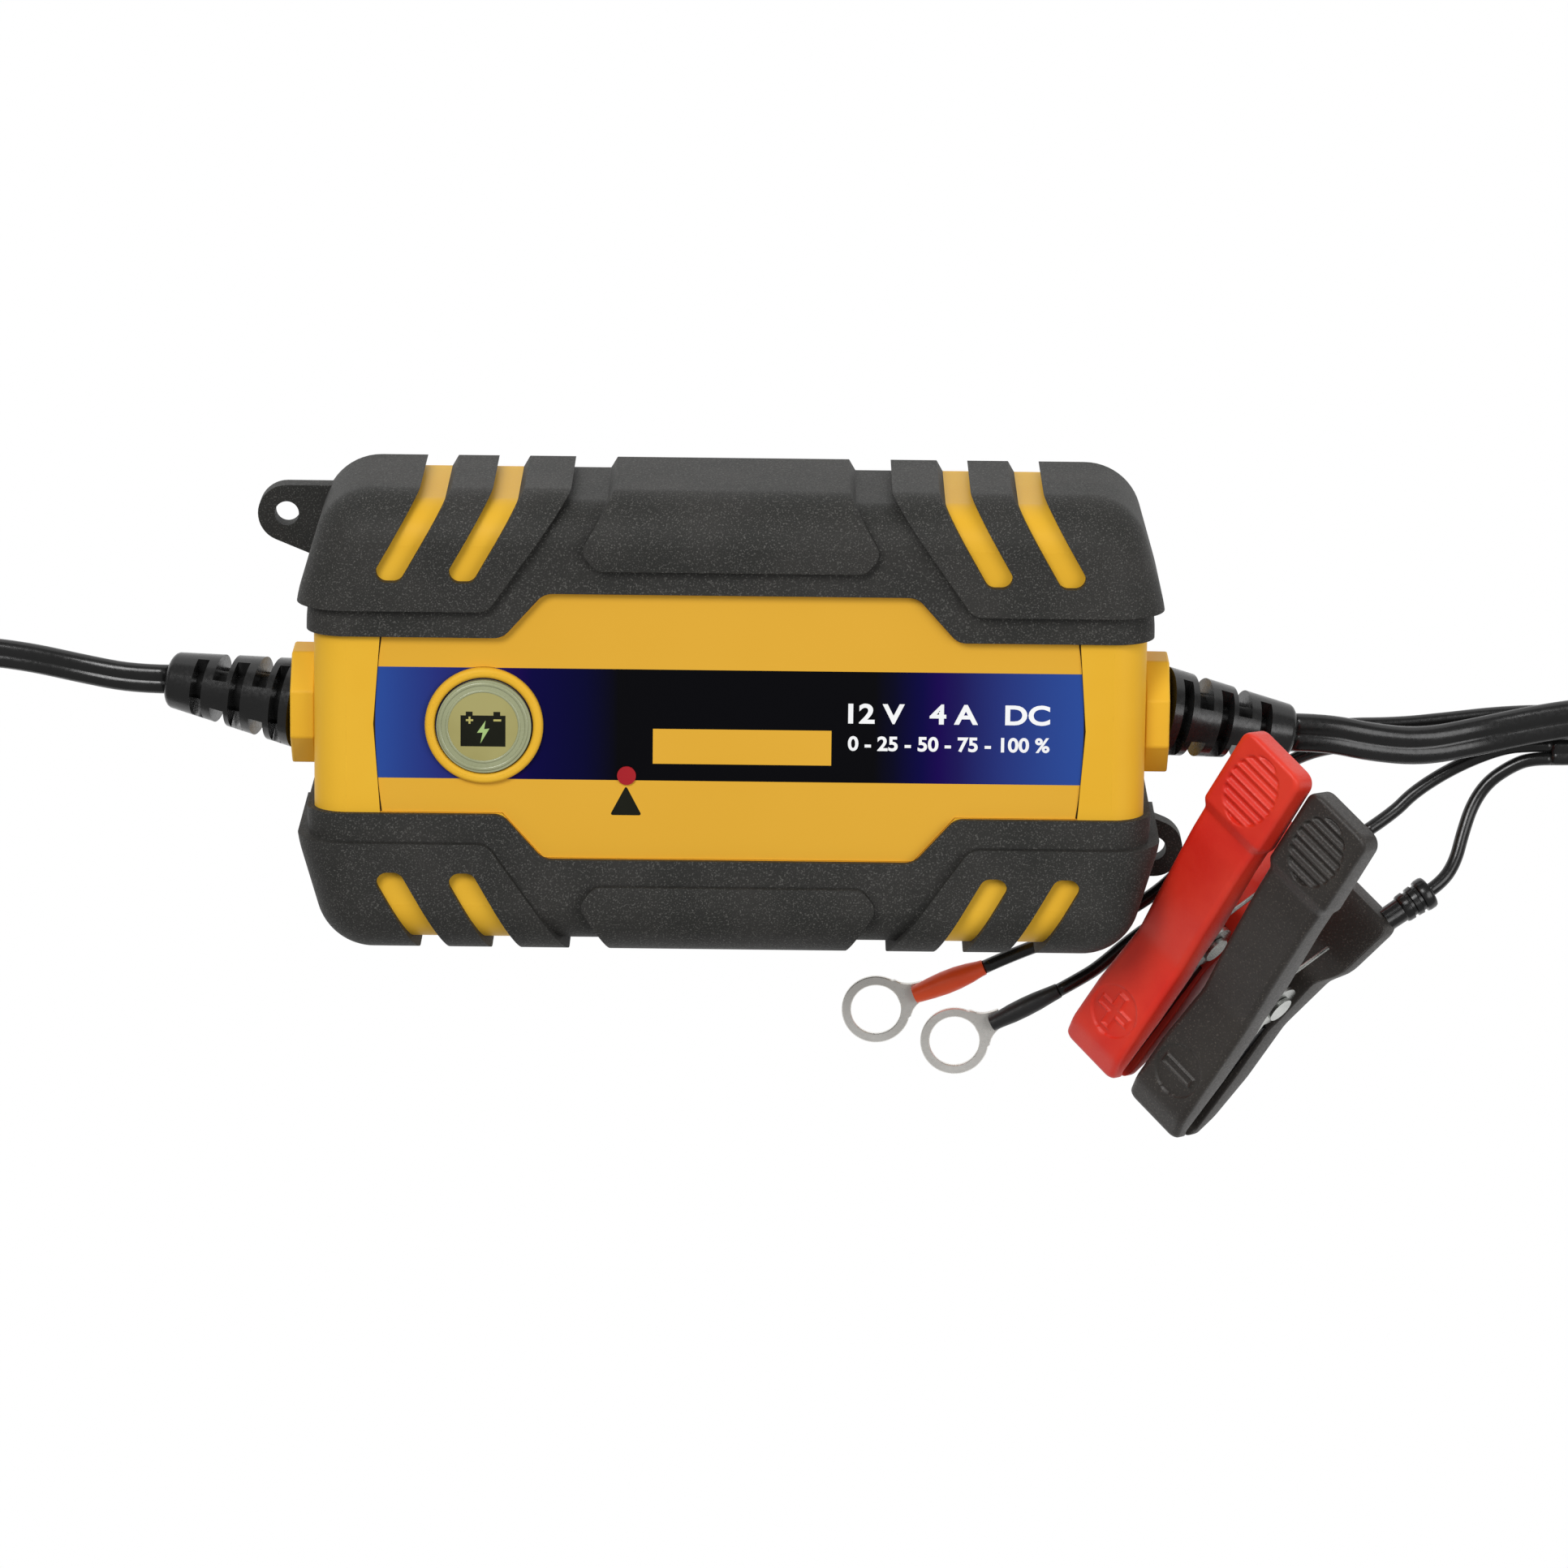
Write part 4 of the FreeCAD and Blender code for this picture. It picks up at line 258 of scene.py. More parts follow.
BY_SLOT = {"yellow_plastic": yellow, "black_bumper": rubber, "black_plastic": black, "red_plastic": red_grip,
           "grey_rubber": seal, "zinc_steel": zinc, "black_steel": dark_steel, "printed_film": film,
           "smoke_plastic": smoke, "olive_print": olive, "red_lens": lens_red, "green_board": board,
           "led_plastic": clear, "ferrite": ferrite, "copper_winding": copper, "can_sleeve": can,
           "white_ceramic": ceramic, "aluminium": aluminium, "black_vinyl": vinyl, "red_vinyl": shrink_red,
           "brass": brass, "tinned_copper": tin}
BY_NODE = {"black_upper_grip": black_grip, "black_lower_grip": black_grip, "red_boot": boot_red,
           "red_upper_jaw": zinc, "black_upper_jaw": zinc}
slot_of = {row["node"]: row["material_slot"] for row in frame["record"]["subparts"]}
surface_of = {}
for label, thing in frame["nodes"].items():
    surface_of[label] = BY_NODE.get(label, BY_SLOT[slot_of[label]])
    if not thing.data.materials:
        thing.data.materials.append(surface_of[label])
    for place in thing.material_slots:
        place.material = surface_of[label]

# Making pieces

# Points of a new mesh nearer than this are one point.
SAME_POINT = 0.001


def body_for(label):
    """The CAD body that a node rides on."""
    for name, bodies in frame["record"]["behaviour"]["bodies"].items():
        if label in bodies:
            return name
    return "charger"


def clean(mesh, near, flat=None, outwards=True, smooth=True):
    """Merge near points, join faces that meet within a flat angle in degrees, and turn the faces outwards."""
    shape = bmesh.new()
    shape.from_mesh(mesh)
    bmesh.ops.remove_doubles(shape, verts=shape.verts, dist=near * MM)
    if flat:
        bmesh.ops.dissolve_limit(shape, angle_limit=math.radians(flat), verts=shape.verts, edges=shape.edges)
    if outwards:
        bmesh.ops.recalc_face_normals(shape, faces=shape.faces)
    shape.to_mesh(mesh)
    shape.free()
    mesh.polygons.foreach_set("use_smooth", [smooth] * len(mesh.polygons))


def piece_from(name, points, faces, material, body="charger", smooth=True, sharp=None, slot=None):
    """A mesh piece from points in millimetres and faces."""
    mesh = bpy.data.meshes.new(name)
    mesh.from_pydata((numpy.asarray(points, dtype=float) * MM).tolist(), [], faces)
    clean(mesh, SAME_POINT, smooth=smooth)
    if sharp:
        mesh.set_sharp_from_angle(angle=math.radians(sharp))
    mesh.materials.append(material)
    piece = placed(name, mesh)
    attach(piece, body)
    return piece


def copy_of(label, name, near, **cleaning):
    """A smooth copy of a node that stands for it."""
    mesh = frame["nodes"][label].data.copy()
    mesh.name = name
    clean(mesh, near, **cleaning)
    mesh.materials.clear()
    mesh.materials.append(surface_of[label])
    piece = placed(name, mesh)
    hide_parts(label)
    return piece


def grid_faces(rings, around, closed=False):
    """Quads between neighbouring rings, and between the last and first ring of a closed loop."""
    i, j = numpy.arange(rings if closed else rings - 1)[:, None], numpy.arange(around)[None, :]
    a, b, on = i * around, (i + 1) % rings * around, (j + 1) % around
    return numpy.stack([a + j, a + on, b + on, b + j], axis=-1).reshape(-1, 4).tolist()


def skin(name, rings, material, **options):
    """A closed skin over an array of rings of points, with flat ends."""
    rings = numpy.asarray(rings)
    total, count = rings.shape[:2]
    faces = grid_faces(total, count)
    faces.append(tuple(range(count)))
    faces.append(tuple(range((total - 1) * count, total * count)))
    return piece_from(name, rings.reshape(-1, 3), faces, material, **options)


def eased(share):
    """0 up to a share of 0, share ** 2 * (3 - 2 * share) on the way to 1, and 1 from there on."""
    share = numpy.clip(share, 0, 1)
    return share * share * (3 - 2 * share)


def mesh_of(curve):
    """The points and faces that a curve turns into; the curve itself goes."""
    holder = bpy.data.objects.new(curve.name, curve)
    mesh = bpy.data.meshes.new_from_object(holder)
    points = numpy.array([vertex.co[:] for vertex in mesh.vertices])
    faces = [tuple(face.vertices) for face in mesh.polygons]
    bpy.data.objects.remove(holder)
    bpy.data.meshes.remove(mesh)
    bpy.data.curves.remove(curve)
    return points, faces


# Cords

# Points of a line nearer than this to the last one are left out.
LEAST_STEP = 0.05


def spline_path(name, points, steps):
    """Points along the smooth NURBS spline that has the given control points."""
    curve = bpy.data.curves.new(name, "CURVE")
    curve.dimensions = "3D"
    spline = curve.splines.new("NURBS")
    spline.points.add(len(points) - 1)
    for knot, point in zip(spline.points, points):
        knot.co = (*point, 1.0)
    spline.order_u = 3
    spline.use_endpoint_u = True
    spline.resolution_u = steps
    line, _ = mesh_of(curve)
    keep = [0]
    for k in range(1, len(line)):
        if numpy.linalg.norm(line[k] - line[keep[-1]]) > LEAST_STEP:
            keep.append(k)
    return line[keep]


def lengths_along(line):
    """The length of a line up to each of its points."""
    steps = numpy.linalg.norm(numpy.diff(line, axis=0), axis=1)
    return numpy.concatenate([[0.0], numpy.cumsum(steps)])


def flat_section(wide, thick, groove, count=9):
    """Two round cores side by side: (across, up) points round a stadium with a shallow groove on each flat.

    The groove at a share s of the half width is groove * exp(-(s / 0.3) ** 2)."""
    r, half = thick / 2, (wide - thick) / 2
    q = numpy.radians(numpy.linspace(-90, 90, count))
    end = numpy.stack([half + r * numpy.cos(q), r * numpy.sin(q)], axis=1)
    shares = numpy.array((0.75, 0.45, 0.22, 0.0, -0.22, -0.45, -0.75))
    flat = numpy.stack([half * shares, r - groove * numpy.exp(-(shares / 0.3) ** 2)], axis=1)
    return numpy.concatenate([end, flat, -end, -flat])


def round_section(wide, count=20):
    """Points (r cos q, r sin q) round a circle."""
    q = numpy.linspace(0, 2 * math.pi, count, endpoint=False)
    return wide / 2 * numpy.stack([numpy.cos(q), numpy.sin(q)], axis=1)


def sweep(name, line, section, material, twist=None, **options):
    """A tube along a line: ring k is line[k] + across * (side cos q + up sin q) + height * (up cos q - side
    sin q), where side is level and across the way on, up is square to both, and q is the twist there."""
    ways = numpy.gradient(line, axis=0)
    ways /= numpy.linalg.norm(ways, axis=1)[:, None]
    sides = numpy.cross((0.0, 0.0, 1.0), ways)
    sides /= numpy.linalg.norm(sides, axis=1)[:, None]
    ups = numpy.cross(ways, sides)
    angles = numpy.zeros(len(line)) if twist is None else twist
    first = sides * numpy.cos(angles)[:, None] + ups * numpy.sin(angles)[:, None]
    second = ups * numpy.cos(angles)[:, None] - sides * numpy.sin(angles)[:, None]
    rings = (line[:, None, :] + first[:, None, :] * section[None, :, :1]
             + second[:, None, :] * section[None, :, 1:])
    return skin(name, rings, material, **options)


# The gaps between a coil's turns and under it, the points of a turn, and how much it rises at its tie.
COIL_GAP = 0.55
OFF_FLOOR = 0.05
TURN_POINTS = 16
TIE_LIFT = 1.0


def coil_points(entry, heading, across, turns, inward, wide, tail, tie_angle):
    """Control points of a coil in two layers, wound inwards on the floor and back outwards on top.

    At turn t the radius falls by one pitch a turn up to inward + 1, steps out by 1.5 pitches over the next
    half turn, and grows by one pitch a turn after it. The height rises by one pitch over half a turn, and by
    TIE_LIFT * exp(-(d / 0.4) ** 2) at an angle d from the tie. bulge makes up for the spline, which runs
    inside its control points."""
    pitch = wide + COIL_GAP
    start = math.radians(heading - 90)
    centre = numpy.array([entry[0] - across * math.cos(start), entry[1] - across * math.sin(start)])
    bulge = 1 / (0.75 + 0.25 * math.cos(2 * math.pi / TURN_POINTS))
    t = numpy.linspace(0, turns, int(round(turns * TURN_POINTS)) + 1)
    wound = across - pitch * numpy.minimum(t, inward + 1) + 1.5 * pitch * eased((t - inward - 1) * 2)
    radius = bulge * (wound + pitch * numpy.maximum(t - inward - 1.5, 0))
    angle = start + 2 * math.pi * t
    off = (angle - tie_angle + math.pi) % (2 * math.pi) - math.pi
    height = (wide / 2 + OFF_FLOOR + pitch * eased((t - inward - 0.5) * 2)
              + TIE_LIFT * numpy.exp(-(off / 0.4) ** 2))
    points = numpy.stack([centre[0] + radius * numpy.cos(angle), centre[1] + radius * numpy.sin(angle),
                          height], axis=-1).tolist()
    out = start + 2 * math.pi * turns + math.pi / 2
    way = numpy.array([math.cos(out), math.sin(out), 0.0])
    end = numpy.array(points[-1])
    for share in ((0.5, 1.0) if tail > wide else (1.0,)):
        points.append(tuple(end + way * tail * share))
    return points, centre


def flat_twist(line, straight, over):
    """How far a flat cord has turned on edge: level up to a length, and upright after one more."""
    return math.radians(90) * eased((lengths_along(line) - straight) / over)


def flexible(name, route, section, nodes, steps=8, turn=None):
    """A lead along a route that stands for nodes, and its line. turn holds flat_twist's two lengths."""
    line = spline_path(name + "_route", route, steps)
    twist = flat_twist(line, *turn) if turn else None
    lead = sweep(name + "_flex", line, section, vinyl, twist, slot="black_vinyl")
    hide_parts(*nodes)
    return lead, line


# The tips of the cable guards, where the cords come out.
TIP_X = 117.2
TIP_Z = 14.4
MAINS_Y, OUTPUT_Y = 3.0, -5.7
MAINS_WIDE, MAINS_THICK = 6.2, 3.4
LEAD_WIDE, LEAD_THICK = 8.2, 4.1
HARNESS_WIDE, HARNESS_THICK = 5.8, 2.9
# The heights of the harness leads on the floor, and of the output lead where it passes over them.
floor_z = HARNESS_THICK / 2
over_z = HARNESS_THICK + LEAD_THICK / 2 + 0.35

mains_tie = math.radians(300)
mains_coil, mains_centre = coil_points((-211.0, 6.2), 180.0, 46.0, 5.78, 2.5, MAINS_WIDE, 54.0, mains_tie)
mains_route = [(-TIP_X, MAINS_Y, TIP_Z), (-TIP_X - 8, MAINS_Y, TIP_Z), (-TIP_X - 19, 4.6, 12.4),
               (-TIP_X - 31, 6.0, 7.6), (-TIP_X - 44, 6.6, 4.2), (-TIP_X - 59, 6.7, 3.1),
               (-TIP_X - 74, 6.4, 3.15)] + mains_coil
mains_cord, mains_line = flexible("mains", mains_route, flat_section(MAINS_WIDE, MAINS_THICK, 0.35),
                                  ["mains_cord", "mains_cord_coil"], steps=6, turn=(52.0, 34.0))

output_tie = math.radians(60)
output_coil, output_centre = coil_points((245.0, -7.5), -12.0, 50.0, 3.083, 1.05, LEAD_WIDE, LEAD_WIDE,
                                         output_tie)
output_route = [(TIP_X, OUTPUT_Y, TIP_Z), (TIP_X + 8, OUTPUT_Y, TIP_Z), (TIP_X + 18, -8.2, 12.6),
                (TIP_X + 29, -9.9, 8.6), (TIP_X + 41, -8.2, over_z), (TIP_X + 55, -5.0, over_z),
                (TIP_X + 68, -3.2, over_z), (TIP_X + 82, -2.5, over_z), (TIP_X + 96, -2.8, over_z - 0.1),
                (233.3, -5.0, 4.15)] + output_coil
output_cord, output_line = flexible("output", output_route, flat_section(LEAD_WIDE, LEAD_THICK, 0.45),
                                    ["output_lead", "output_lead_coil"], steps=6, turn=(92.0, 34.0))

# Woven strap of the coils' ties, dull black.
strap = finish("woven_strap", "1C1C1E", "2A2A2C", 0.7, 0.85, 0.5, 0.06)
TIE_WIDE, TIE_THICK = 9.0, 0.7
# The free room inside a tie: beside the turns, above them, and the height of its lowest inner face.
TIE_BESIDE, TIE_ABOVE, TIE_BOTTOM = 0.2, 0.1, 0.75
# How far round from a tie, in radians, the turns are measured.
TIE_NEAR = 0.12


def coil_tie(name, line, centre, angle, wide, thick):
    """A strap round the turns of a coil, in the upright plane at an angle round its centre.

    With a and b as cos q and sin q raised to the power 0.35, their signs kept, it runs at the radius
    middle + a * half and at the height mid + b * rise."""
    offsets = line[:, :2] - centre
    angles = numpy.arctan2(offsets[:, 1], offsets[:, 0])
    near = numpy.abs((angles - angle + math.pi) % (2 * math.pi) - math.pi) < TIE_NEAR
    radii = numpy.hypot(offsets[:, 0], offsets[:, 1])[near]
    inner, outer = radii.min() - thick / 2, radii.max() + thick / 2
    q = 2 * math.pi * numpy.arange(64)[:, None] / 64
    a = numpy.copysign(numpy.abs(numpy.cos(q)) ** 0.35, numpy.cos(q))
    b = numpy.copysign(numpy.abs(numpy.sin(q)) ** 0.35, numpy.sin(q))
    shell = numpy.array((0.0, 0.0, TIE_THICK, TIE_THICK))
    side = numpy.array((-1, 1, 1, -1)) * TIE_WIDE / 2
    low = TIE_BOTTOM - shell
    high = line[near][:, 2].max() + wide / 2 + TIE_ABOVE + shell
    out = (inner + outer) / 2 + a * ((outer - inner) / 2 + shell + TIE_BESIDE)
    points = numpy.stack([centre[0] + math.cos(angle) * out - math.sin(angle) * side,
                          centre[1] + math.sin(angle) * out + math.cos(angle) * side,
                          (low + high) / 2 + b * (high - low) / 2], axis=-1)
    return piece_from(name, points.reshape(-1, 3), grid_faces(64, 4, closed=True), strap, smooth=False,
                      slot="black_plastic")


mains_band = coil_tie("mains_coil_tie", mains_line, mains_centre, mains_tie, MAINS_WIDE, MAINS_THICK)
output_band = coil_tie("output_coil_tie", output_line, output_centre, output_tie, LEAD_WIDE, LEAD_THICK)


def around(centre, radius, first, last, count):
    """Corners of a route that follows an arc on the floor, angles in degrees."""
    step = math.radians(last - first) / count
    out = radius / math.cos(step / 2)
    angles = [math.radians(first) + step * (k + 0.5) for k in range(count)]
    return [(centre[0] + out * math.cos(q), centre[1] + out * math.sin(q), floor_z) for q in angles]


def on_from(place, way, distance):
    """The point at a distance from a place on a way."""
    return tuple(numpy.array(place) + numpy.array(way) * distance)


def sloping(height, ways):
    """Points of a lead that comes down to the floor; each is x, y and the share of the height left."""
    return [(x, y, floor_z + share * (height - floor_z)) for x, y, share in ways]


# The way the boots point, where the leads leave them, and where the two leads meet and turn.
BOOT_WAY = (0.82294, 0.51348, -0.24312)
BOOT_LONG = 10.0
boot_ends = {"red": (134.527, -29.347, 5.753), "black": (148.069, -41.057, 9.953)}
meet = (174.0, -12.4, floor_z)
red_y, black_y = meet[1] + HARNESS_WIDE / 4, meet[1] - HARNESS_WIDE / 4
first_bend, second_bend = (188.8, -40.5), (244.8, -47.5)

single = round_section(HARNESS_THICK)
red_route = [boot_ends["red"], on_from(boot_ends["red"], BOOT_WAY, 7.5)]
red_route += sloping(5.753, [(144.5, -21.5, 0.4), (150.5, -17.6, 0.1), (157.0, -14.2, 0), (164.0, -11.5, 0),
                             (169.5, red_y, 0), (174.0, red_y, 0)])
black_route = [boot_ends["black"], on_from(boot_ends["black"], BOOT_WAY, 3.6)]
black_route += sloping(9.953, [(153.9, -35.3, 0.62), (155.5, -29.6, 0.32), (157.5, -23.9, 0.08),
                               (160.6, -19.2, 0), (165.0, -15.9, 0), (169.5, black_y, 0),
                               (174.0, black_y, 0)])
pair_end = (second_bend[0] + 15.5, second_bend[1] - 27.0, floor_z)
pair_route = [meet, (179.0, -12.4, floor_z)]
pair_route += around(first_bend, 29.0, 90, 0, 6) + around(second_bend, 27.0, 180, 270, 5) + [pair_end]

red_flex, red_line = flexible("red_clamp", red_route, single, ["red_clamp_lead"])
black_flex, black_line = flexible("black_clamp", black_route, single, ["black_clamp_lead"])
pair_flex, pair_line = flexible("clamp_pair", pair_route, flat_section(HARNESS_WIDE, HARNESS_THICK, 0.3),
                                ["clamp_lead_pair"])

# The ring leads run side by side round two bends, given by their middle, and end at an angle on the second.
half_pitch = HARNESS_THICK / 2 + 0.1
FIRST_ROUND, SECOND_ROUND = 35.3, 20.7
turned = math.radians(305)
ring_way = (math.cos(turned + math.pi / 2), math.sin(turned + math.pi / 2), 0.0)


def ring_route(start, heading, straight, corners, hand):
    """A ring terminal's lead from its sleeve, beside its twin, to the connector."""
    heading = math.radians(heading)
    way = (math.cos(heading), math.sin(heading), -0.12)
    outer_round = FIRST_ROUND - hand * half_pitch
    inner_round = SECOND_ROUND + hand * half_pitch
    route = [start, on_from(start, way, straight)]
    route += [(x, y, floor_z) for x, y in corners]
    route += around(first_bend, outer_round, 90, 0, 4) + around(second_bend, inner_round, 180, 305, 4)
    end = (second_bend[0] + inner_round * math.cos(turned),
           second_bend[1] + inner_round * math.sin(turned), floor_z)
    return route + [on_from(end, ring_way, 7)]


# Where the ring leads leave their sleeves, and the way they lie there in degrees.
sleeve_ends = {"red": (54.39, -60.65, 3.1), "black": (70.38, -65.62, 3.1)}
headings = {"red": 24.0, "black": 28.7}
red_ring = ring_route(sleeve_ends["red"], headings["red"], 7.0,
                      [(71.5, -53.9), (80.5, -50.7), (88.3, -46.2), (95.2, -40.4), (100.5, -32.7),
                       (104.6, -24.1), (109.8, -15.8), (117.6, -9.6), (128.5, -6.9), (141.0, -6.7),
                       (152.0, -5.4), (162.0, -4.1), (173.0, -3.5)], -1)
black_ring = ring_route(sleeve_ends["black"], headings["black"], 6.0,
                        [(79.2, -60.6), (86.4, -54.0), (93.4, -49.1), (99.8, -43.0), (104.6, -35.0),
                         (108.4, -26.4), (113.2, -19.0), (120.6, -13.6), (130.0, -11.3), (141.5, -11.0),
                         (152.6, -8.8), (162.6, -7.4), (173.4, -6.8)], 1)
red_ring_flex, red_ring_line = flexible("red_ring", red_ring, single, ["red_ring_lead"])
black_ring_flex, black_ring_line = flexible("black_ring", black_ring, single, ["black_ring_lead"])

# Moulded pieces with softened edges

# The least angle in degrees of an edge between faces.
SHARP = 28.0


def softened(label, name, radius):
    """A copy of a node whose edges are rounded, standing for the node."""
    piece = copy_of(label, name, 0.004, flat=0.6)
    piece.data.set_sharp_from_angle(angle=math.radians(SHARP))
    bevel = piece.modifiers.new("soft_edges", "BEVEL")
    bevel.width = radius * MM
    bevel.segments = 3
    bevel.limit_method = "ANGLE"
    bevel.angle_limit = math.radians(SHARP)
    bevel.harden_normals = True
    bevel.use_clamp_overlap = True
    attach(piece, body_for(label))
    return piece


for hand in ("left", "right"):
    softened(hand + "_gland_collar", hand + "_collar_moulding", 0.5)
for label in ("upper_bumper", "lower_bumper"):
    softened(label, label + "_moulding", 0.45)
plug, output_connector, clamp_connector, ring_connector = [
    softened(label, label + "_moulding", radius) for label, radius in (
        ("mains_plug", 0.8), ("output_connector", 0.5), ("clamp_connector", 0.5), ("ring_connector", 0.5))]

# Cable guards, boots, sleeves and terminals


def turned_rings(start, end, places, radii, angles):
    """Rings round a line: a point at a distance d and an angle q is d * way + radius * (across cos q +
    up sin q), where across is level and up is square to both."""
    way = numpy.subtract(end, start)
    way = way / numpy.linalg.norm(way)
    across = numpy.cross((0.0, 0.0, 1.0), way)
    across /= numpy.linalg.norm(across)
    spokes = numpy.cos(angles)[..., None] * across + numpy.sin(angles)[..., None] * numpy.cross(way, across)
    return numpy.array(start) + places[..., None] * way + radii[..., None] * spokes


def turned_piece(name, start, end, profile, material, count=40, **options):
    """A turned shape with straight runs between the (distance, radius) corners of its profile."""
    profile = numpy.array(profile)
    angles = numpy.linspace(0, 2 * math.pi, count, endpoint=False)
    rings = turned_rings(start, end, profile[:, :1], profile[:, 1:], angles)
    return skin(name, rings, material, sharp=42, **options)


# A guard's cone from its foot to its tip, the depth of its slots and where they start and end along it, the
# edges of the webs between them, and how much its tip is rounded.
GUARD_FOOT, GUARD_HIGH = 91.3, 21.0
GUARD_ROOT, GUARD_TIP, SLOT_DEEP = 9.2, 5.8, 3.6
UPRIGHT_SLOTS = ((0.45, 2.5), (8.9, 11.5), (17.6, 20.0))
LEVEL_SLOTS = ((3.9, 6.9), (12.6, 15.5))
WEB_EDGES = numpy.radians([25, 65, 115, 155, 205, 245, 295, 335])
TIP_SOFT = 0.8


def within(places, runs):
    """Whether each place lies in one of the runs."""
    return numpy.any([(places > low) & (places < high) for low, high in runs], axis=0)


def cable_guard(name, hand, tip_y, node):
    """A cone from the collar to the cord with slots in pairs, from above and below and from both sides.

    At a distance d the radius falls evenly from GUARD_ROOT to GUARD_TIP. In a slot it is SLOT_DEEP less, save
    for the webs, which are where the ring's angle is within 25 degrees of level or of upright."""
    start, end = (hand * GUARD_FOOT, 0.0, GUARD_HIGH), (hand * TIP_X, tip_y, TIP_Z)
    long = numpy.linalg.norm(numpy.subtract(end, start))
    stretch = long / (TIP_X - GUARD_FOOT)
    upright, level = numpy.array(UPRIGHT_SLOTS) * stretch, numpy.array(LEVEL_SLOTS) * stretch
    edges = numpy.concatenate([upright.ravel(), level.ravel()])
    stations = numpy.concatenate([numpy.linspace(-1.5, long, 24), edges - 0.03, edges + 0.03,
                                  [long - 0.15, long - 0.5, long - 1.0]])
    stations = numpy.unique(stations)[:, None]
    angles = numpy.concatenate([numpy.linspace(0, 2 * math.pi, 72, endpoint=False), WEB_EDGES - 0.004,
                                WEB_EDGES + 0.004])
    angles = numpy.unique(angles)[None, :]
    radius = GUARD_ROOT + (GUARD_TIP - GUARD_ROOT) * stations / long
    radius = radius - TIP_SOFT * numpy.clip(1 - (long - stations) / 1.0, 0, 1) ** 2
    web = math.sin(WEB_EDGES[0])
    cut = within(stations, upright) & (numpy.abs(numpy.sin(angles)) > web)
    cut |= within(stations, level) & (numpy.abs(numpy.cos(angles)) > web)
    radius = numpy.where(cut, radius - SLOT_DEEP, radius + numpy.zeros(angles.shape))
    rings = turned_rings(start, end, stations, radius, angles)
    guard = skin(name, rings, vinyl, sharp=34, slot="black_vinyl")
    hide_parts(node)


cable_guard("mains_guard", -1, MAINS_Y, "mains_strain_relief")
cable_guard("output_guard", 1, OUTPUT_Y, "output_strain_relief")

# Corners of the boots' and the sleeves' outlines, as a distance along them and a radius.
BOOT_PROFILE = [(-1.2, 2.6), (2.9, 2.65), (3.1, 2.95), (3.5, 3.1), (4.7, 3.15), (4.9, 2.75), (5.5, 2.75),
                (5.7, 3.2), (6.9, 3.3), (7.1, 2.9), (7.7, 2.9), (7.9, 3.45), (8.4, 3.6), (9.6, 3.6),
                (10.1, 3.4), (10.3, 3.0), (10.3, 1.5)]
SLEEVE_PROFILES = {
    "red": [(-0.1, 1.5), (0.0, 1.85), (1.2, 2.0), (4.0, 2.3), (7.0, 2.5), (10.0, 2.45), (12.8, 2.15),
            (15.0, 1.75), (16.1, 1.65), (16.2, 1.4)],
    "black": [(-0.1, 1.4), (0.0, 1.7), (2.0, 1.8), (5.0, 2.05), (8.0, 2.1), (11.0, 2.0), (14.0, 1.75),
              (16.1, 1.6), (16.2, 1.4)]}
boot_materials = {"red": boot_red, "black": vinyl}
sleeve_materials = {"red": shrink_red, "black": soft_vinyl}
SLEEVE_LONG = 16.0
SLEEVE_START_Z = 2.1
for colour in ("red", "black"):
    vinyl_slot = colour + "_vinyl"
    end = numpy.array(boot_ends[colour])
    boot = turned_piece(colour + "_ribbed_boot", end - numpy.array(BOOT_WAY) * BOOT_LONG, end, BOOT_PROFILE,
                        boot_materials[colour], body=body_for(colour + "_boot"), slot=vinyl_slot)
    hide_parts(colour + "_boot")
    heading = math.radians(headings[colour])
    end = numpy.array(sleeve_ends[colour])
    flat_way = numpy.array((math.cos(heading), math.sin(heading), 0.0))
    begin = end - flat_way * SLEEVE_LONG
    begin[2] = SLEEVE_START_Z
    sleeve = turned_piece(colour + "_shrunk_sleeve", begin, end, SLEEVE_PROFILES[colour],
                          sleeve_materials[colour], body=body_for(colour + "_ring_sleeve"), slot=vinyl_slot)
    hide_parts(colour + "_ring_sleeve")

RING_ROUND, RING_BORE, RING_THICK, RING_SOFT = 7.3, 5.35, 1.2, 0.2
RING_PLACES = {"red": (31.6, -70.8, 0.0), "black": (48.5, -77.6, 0.0)}


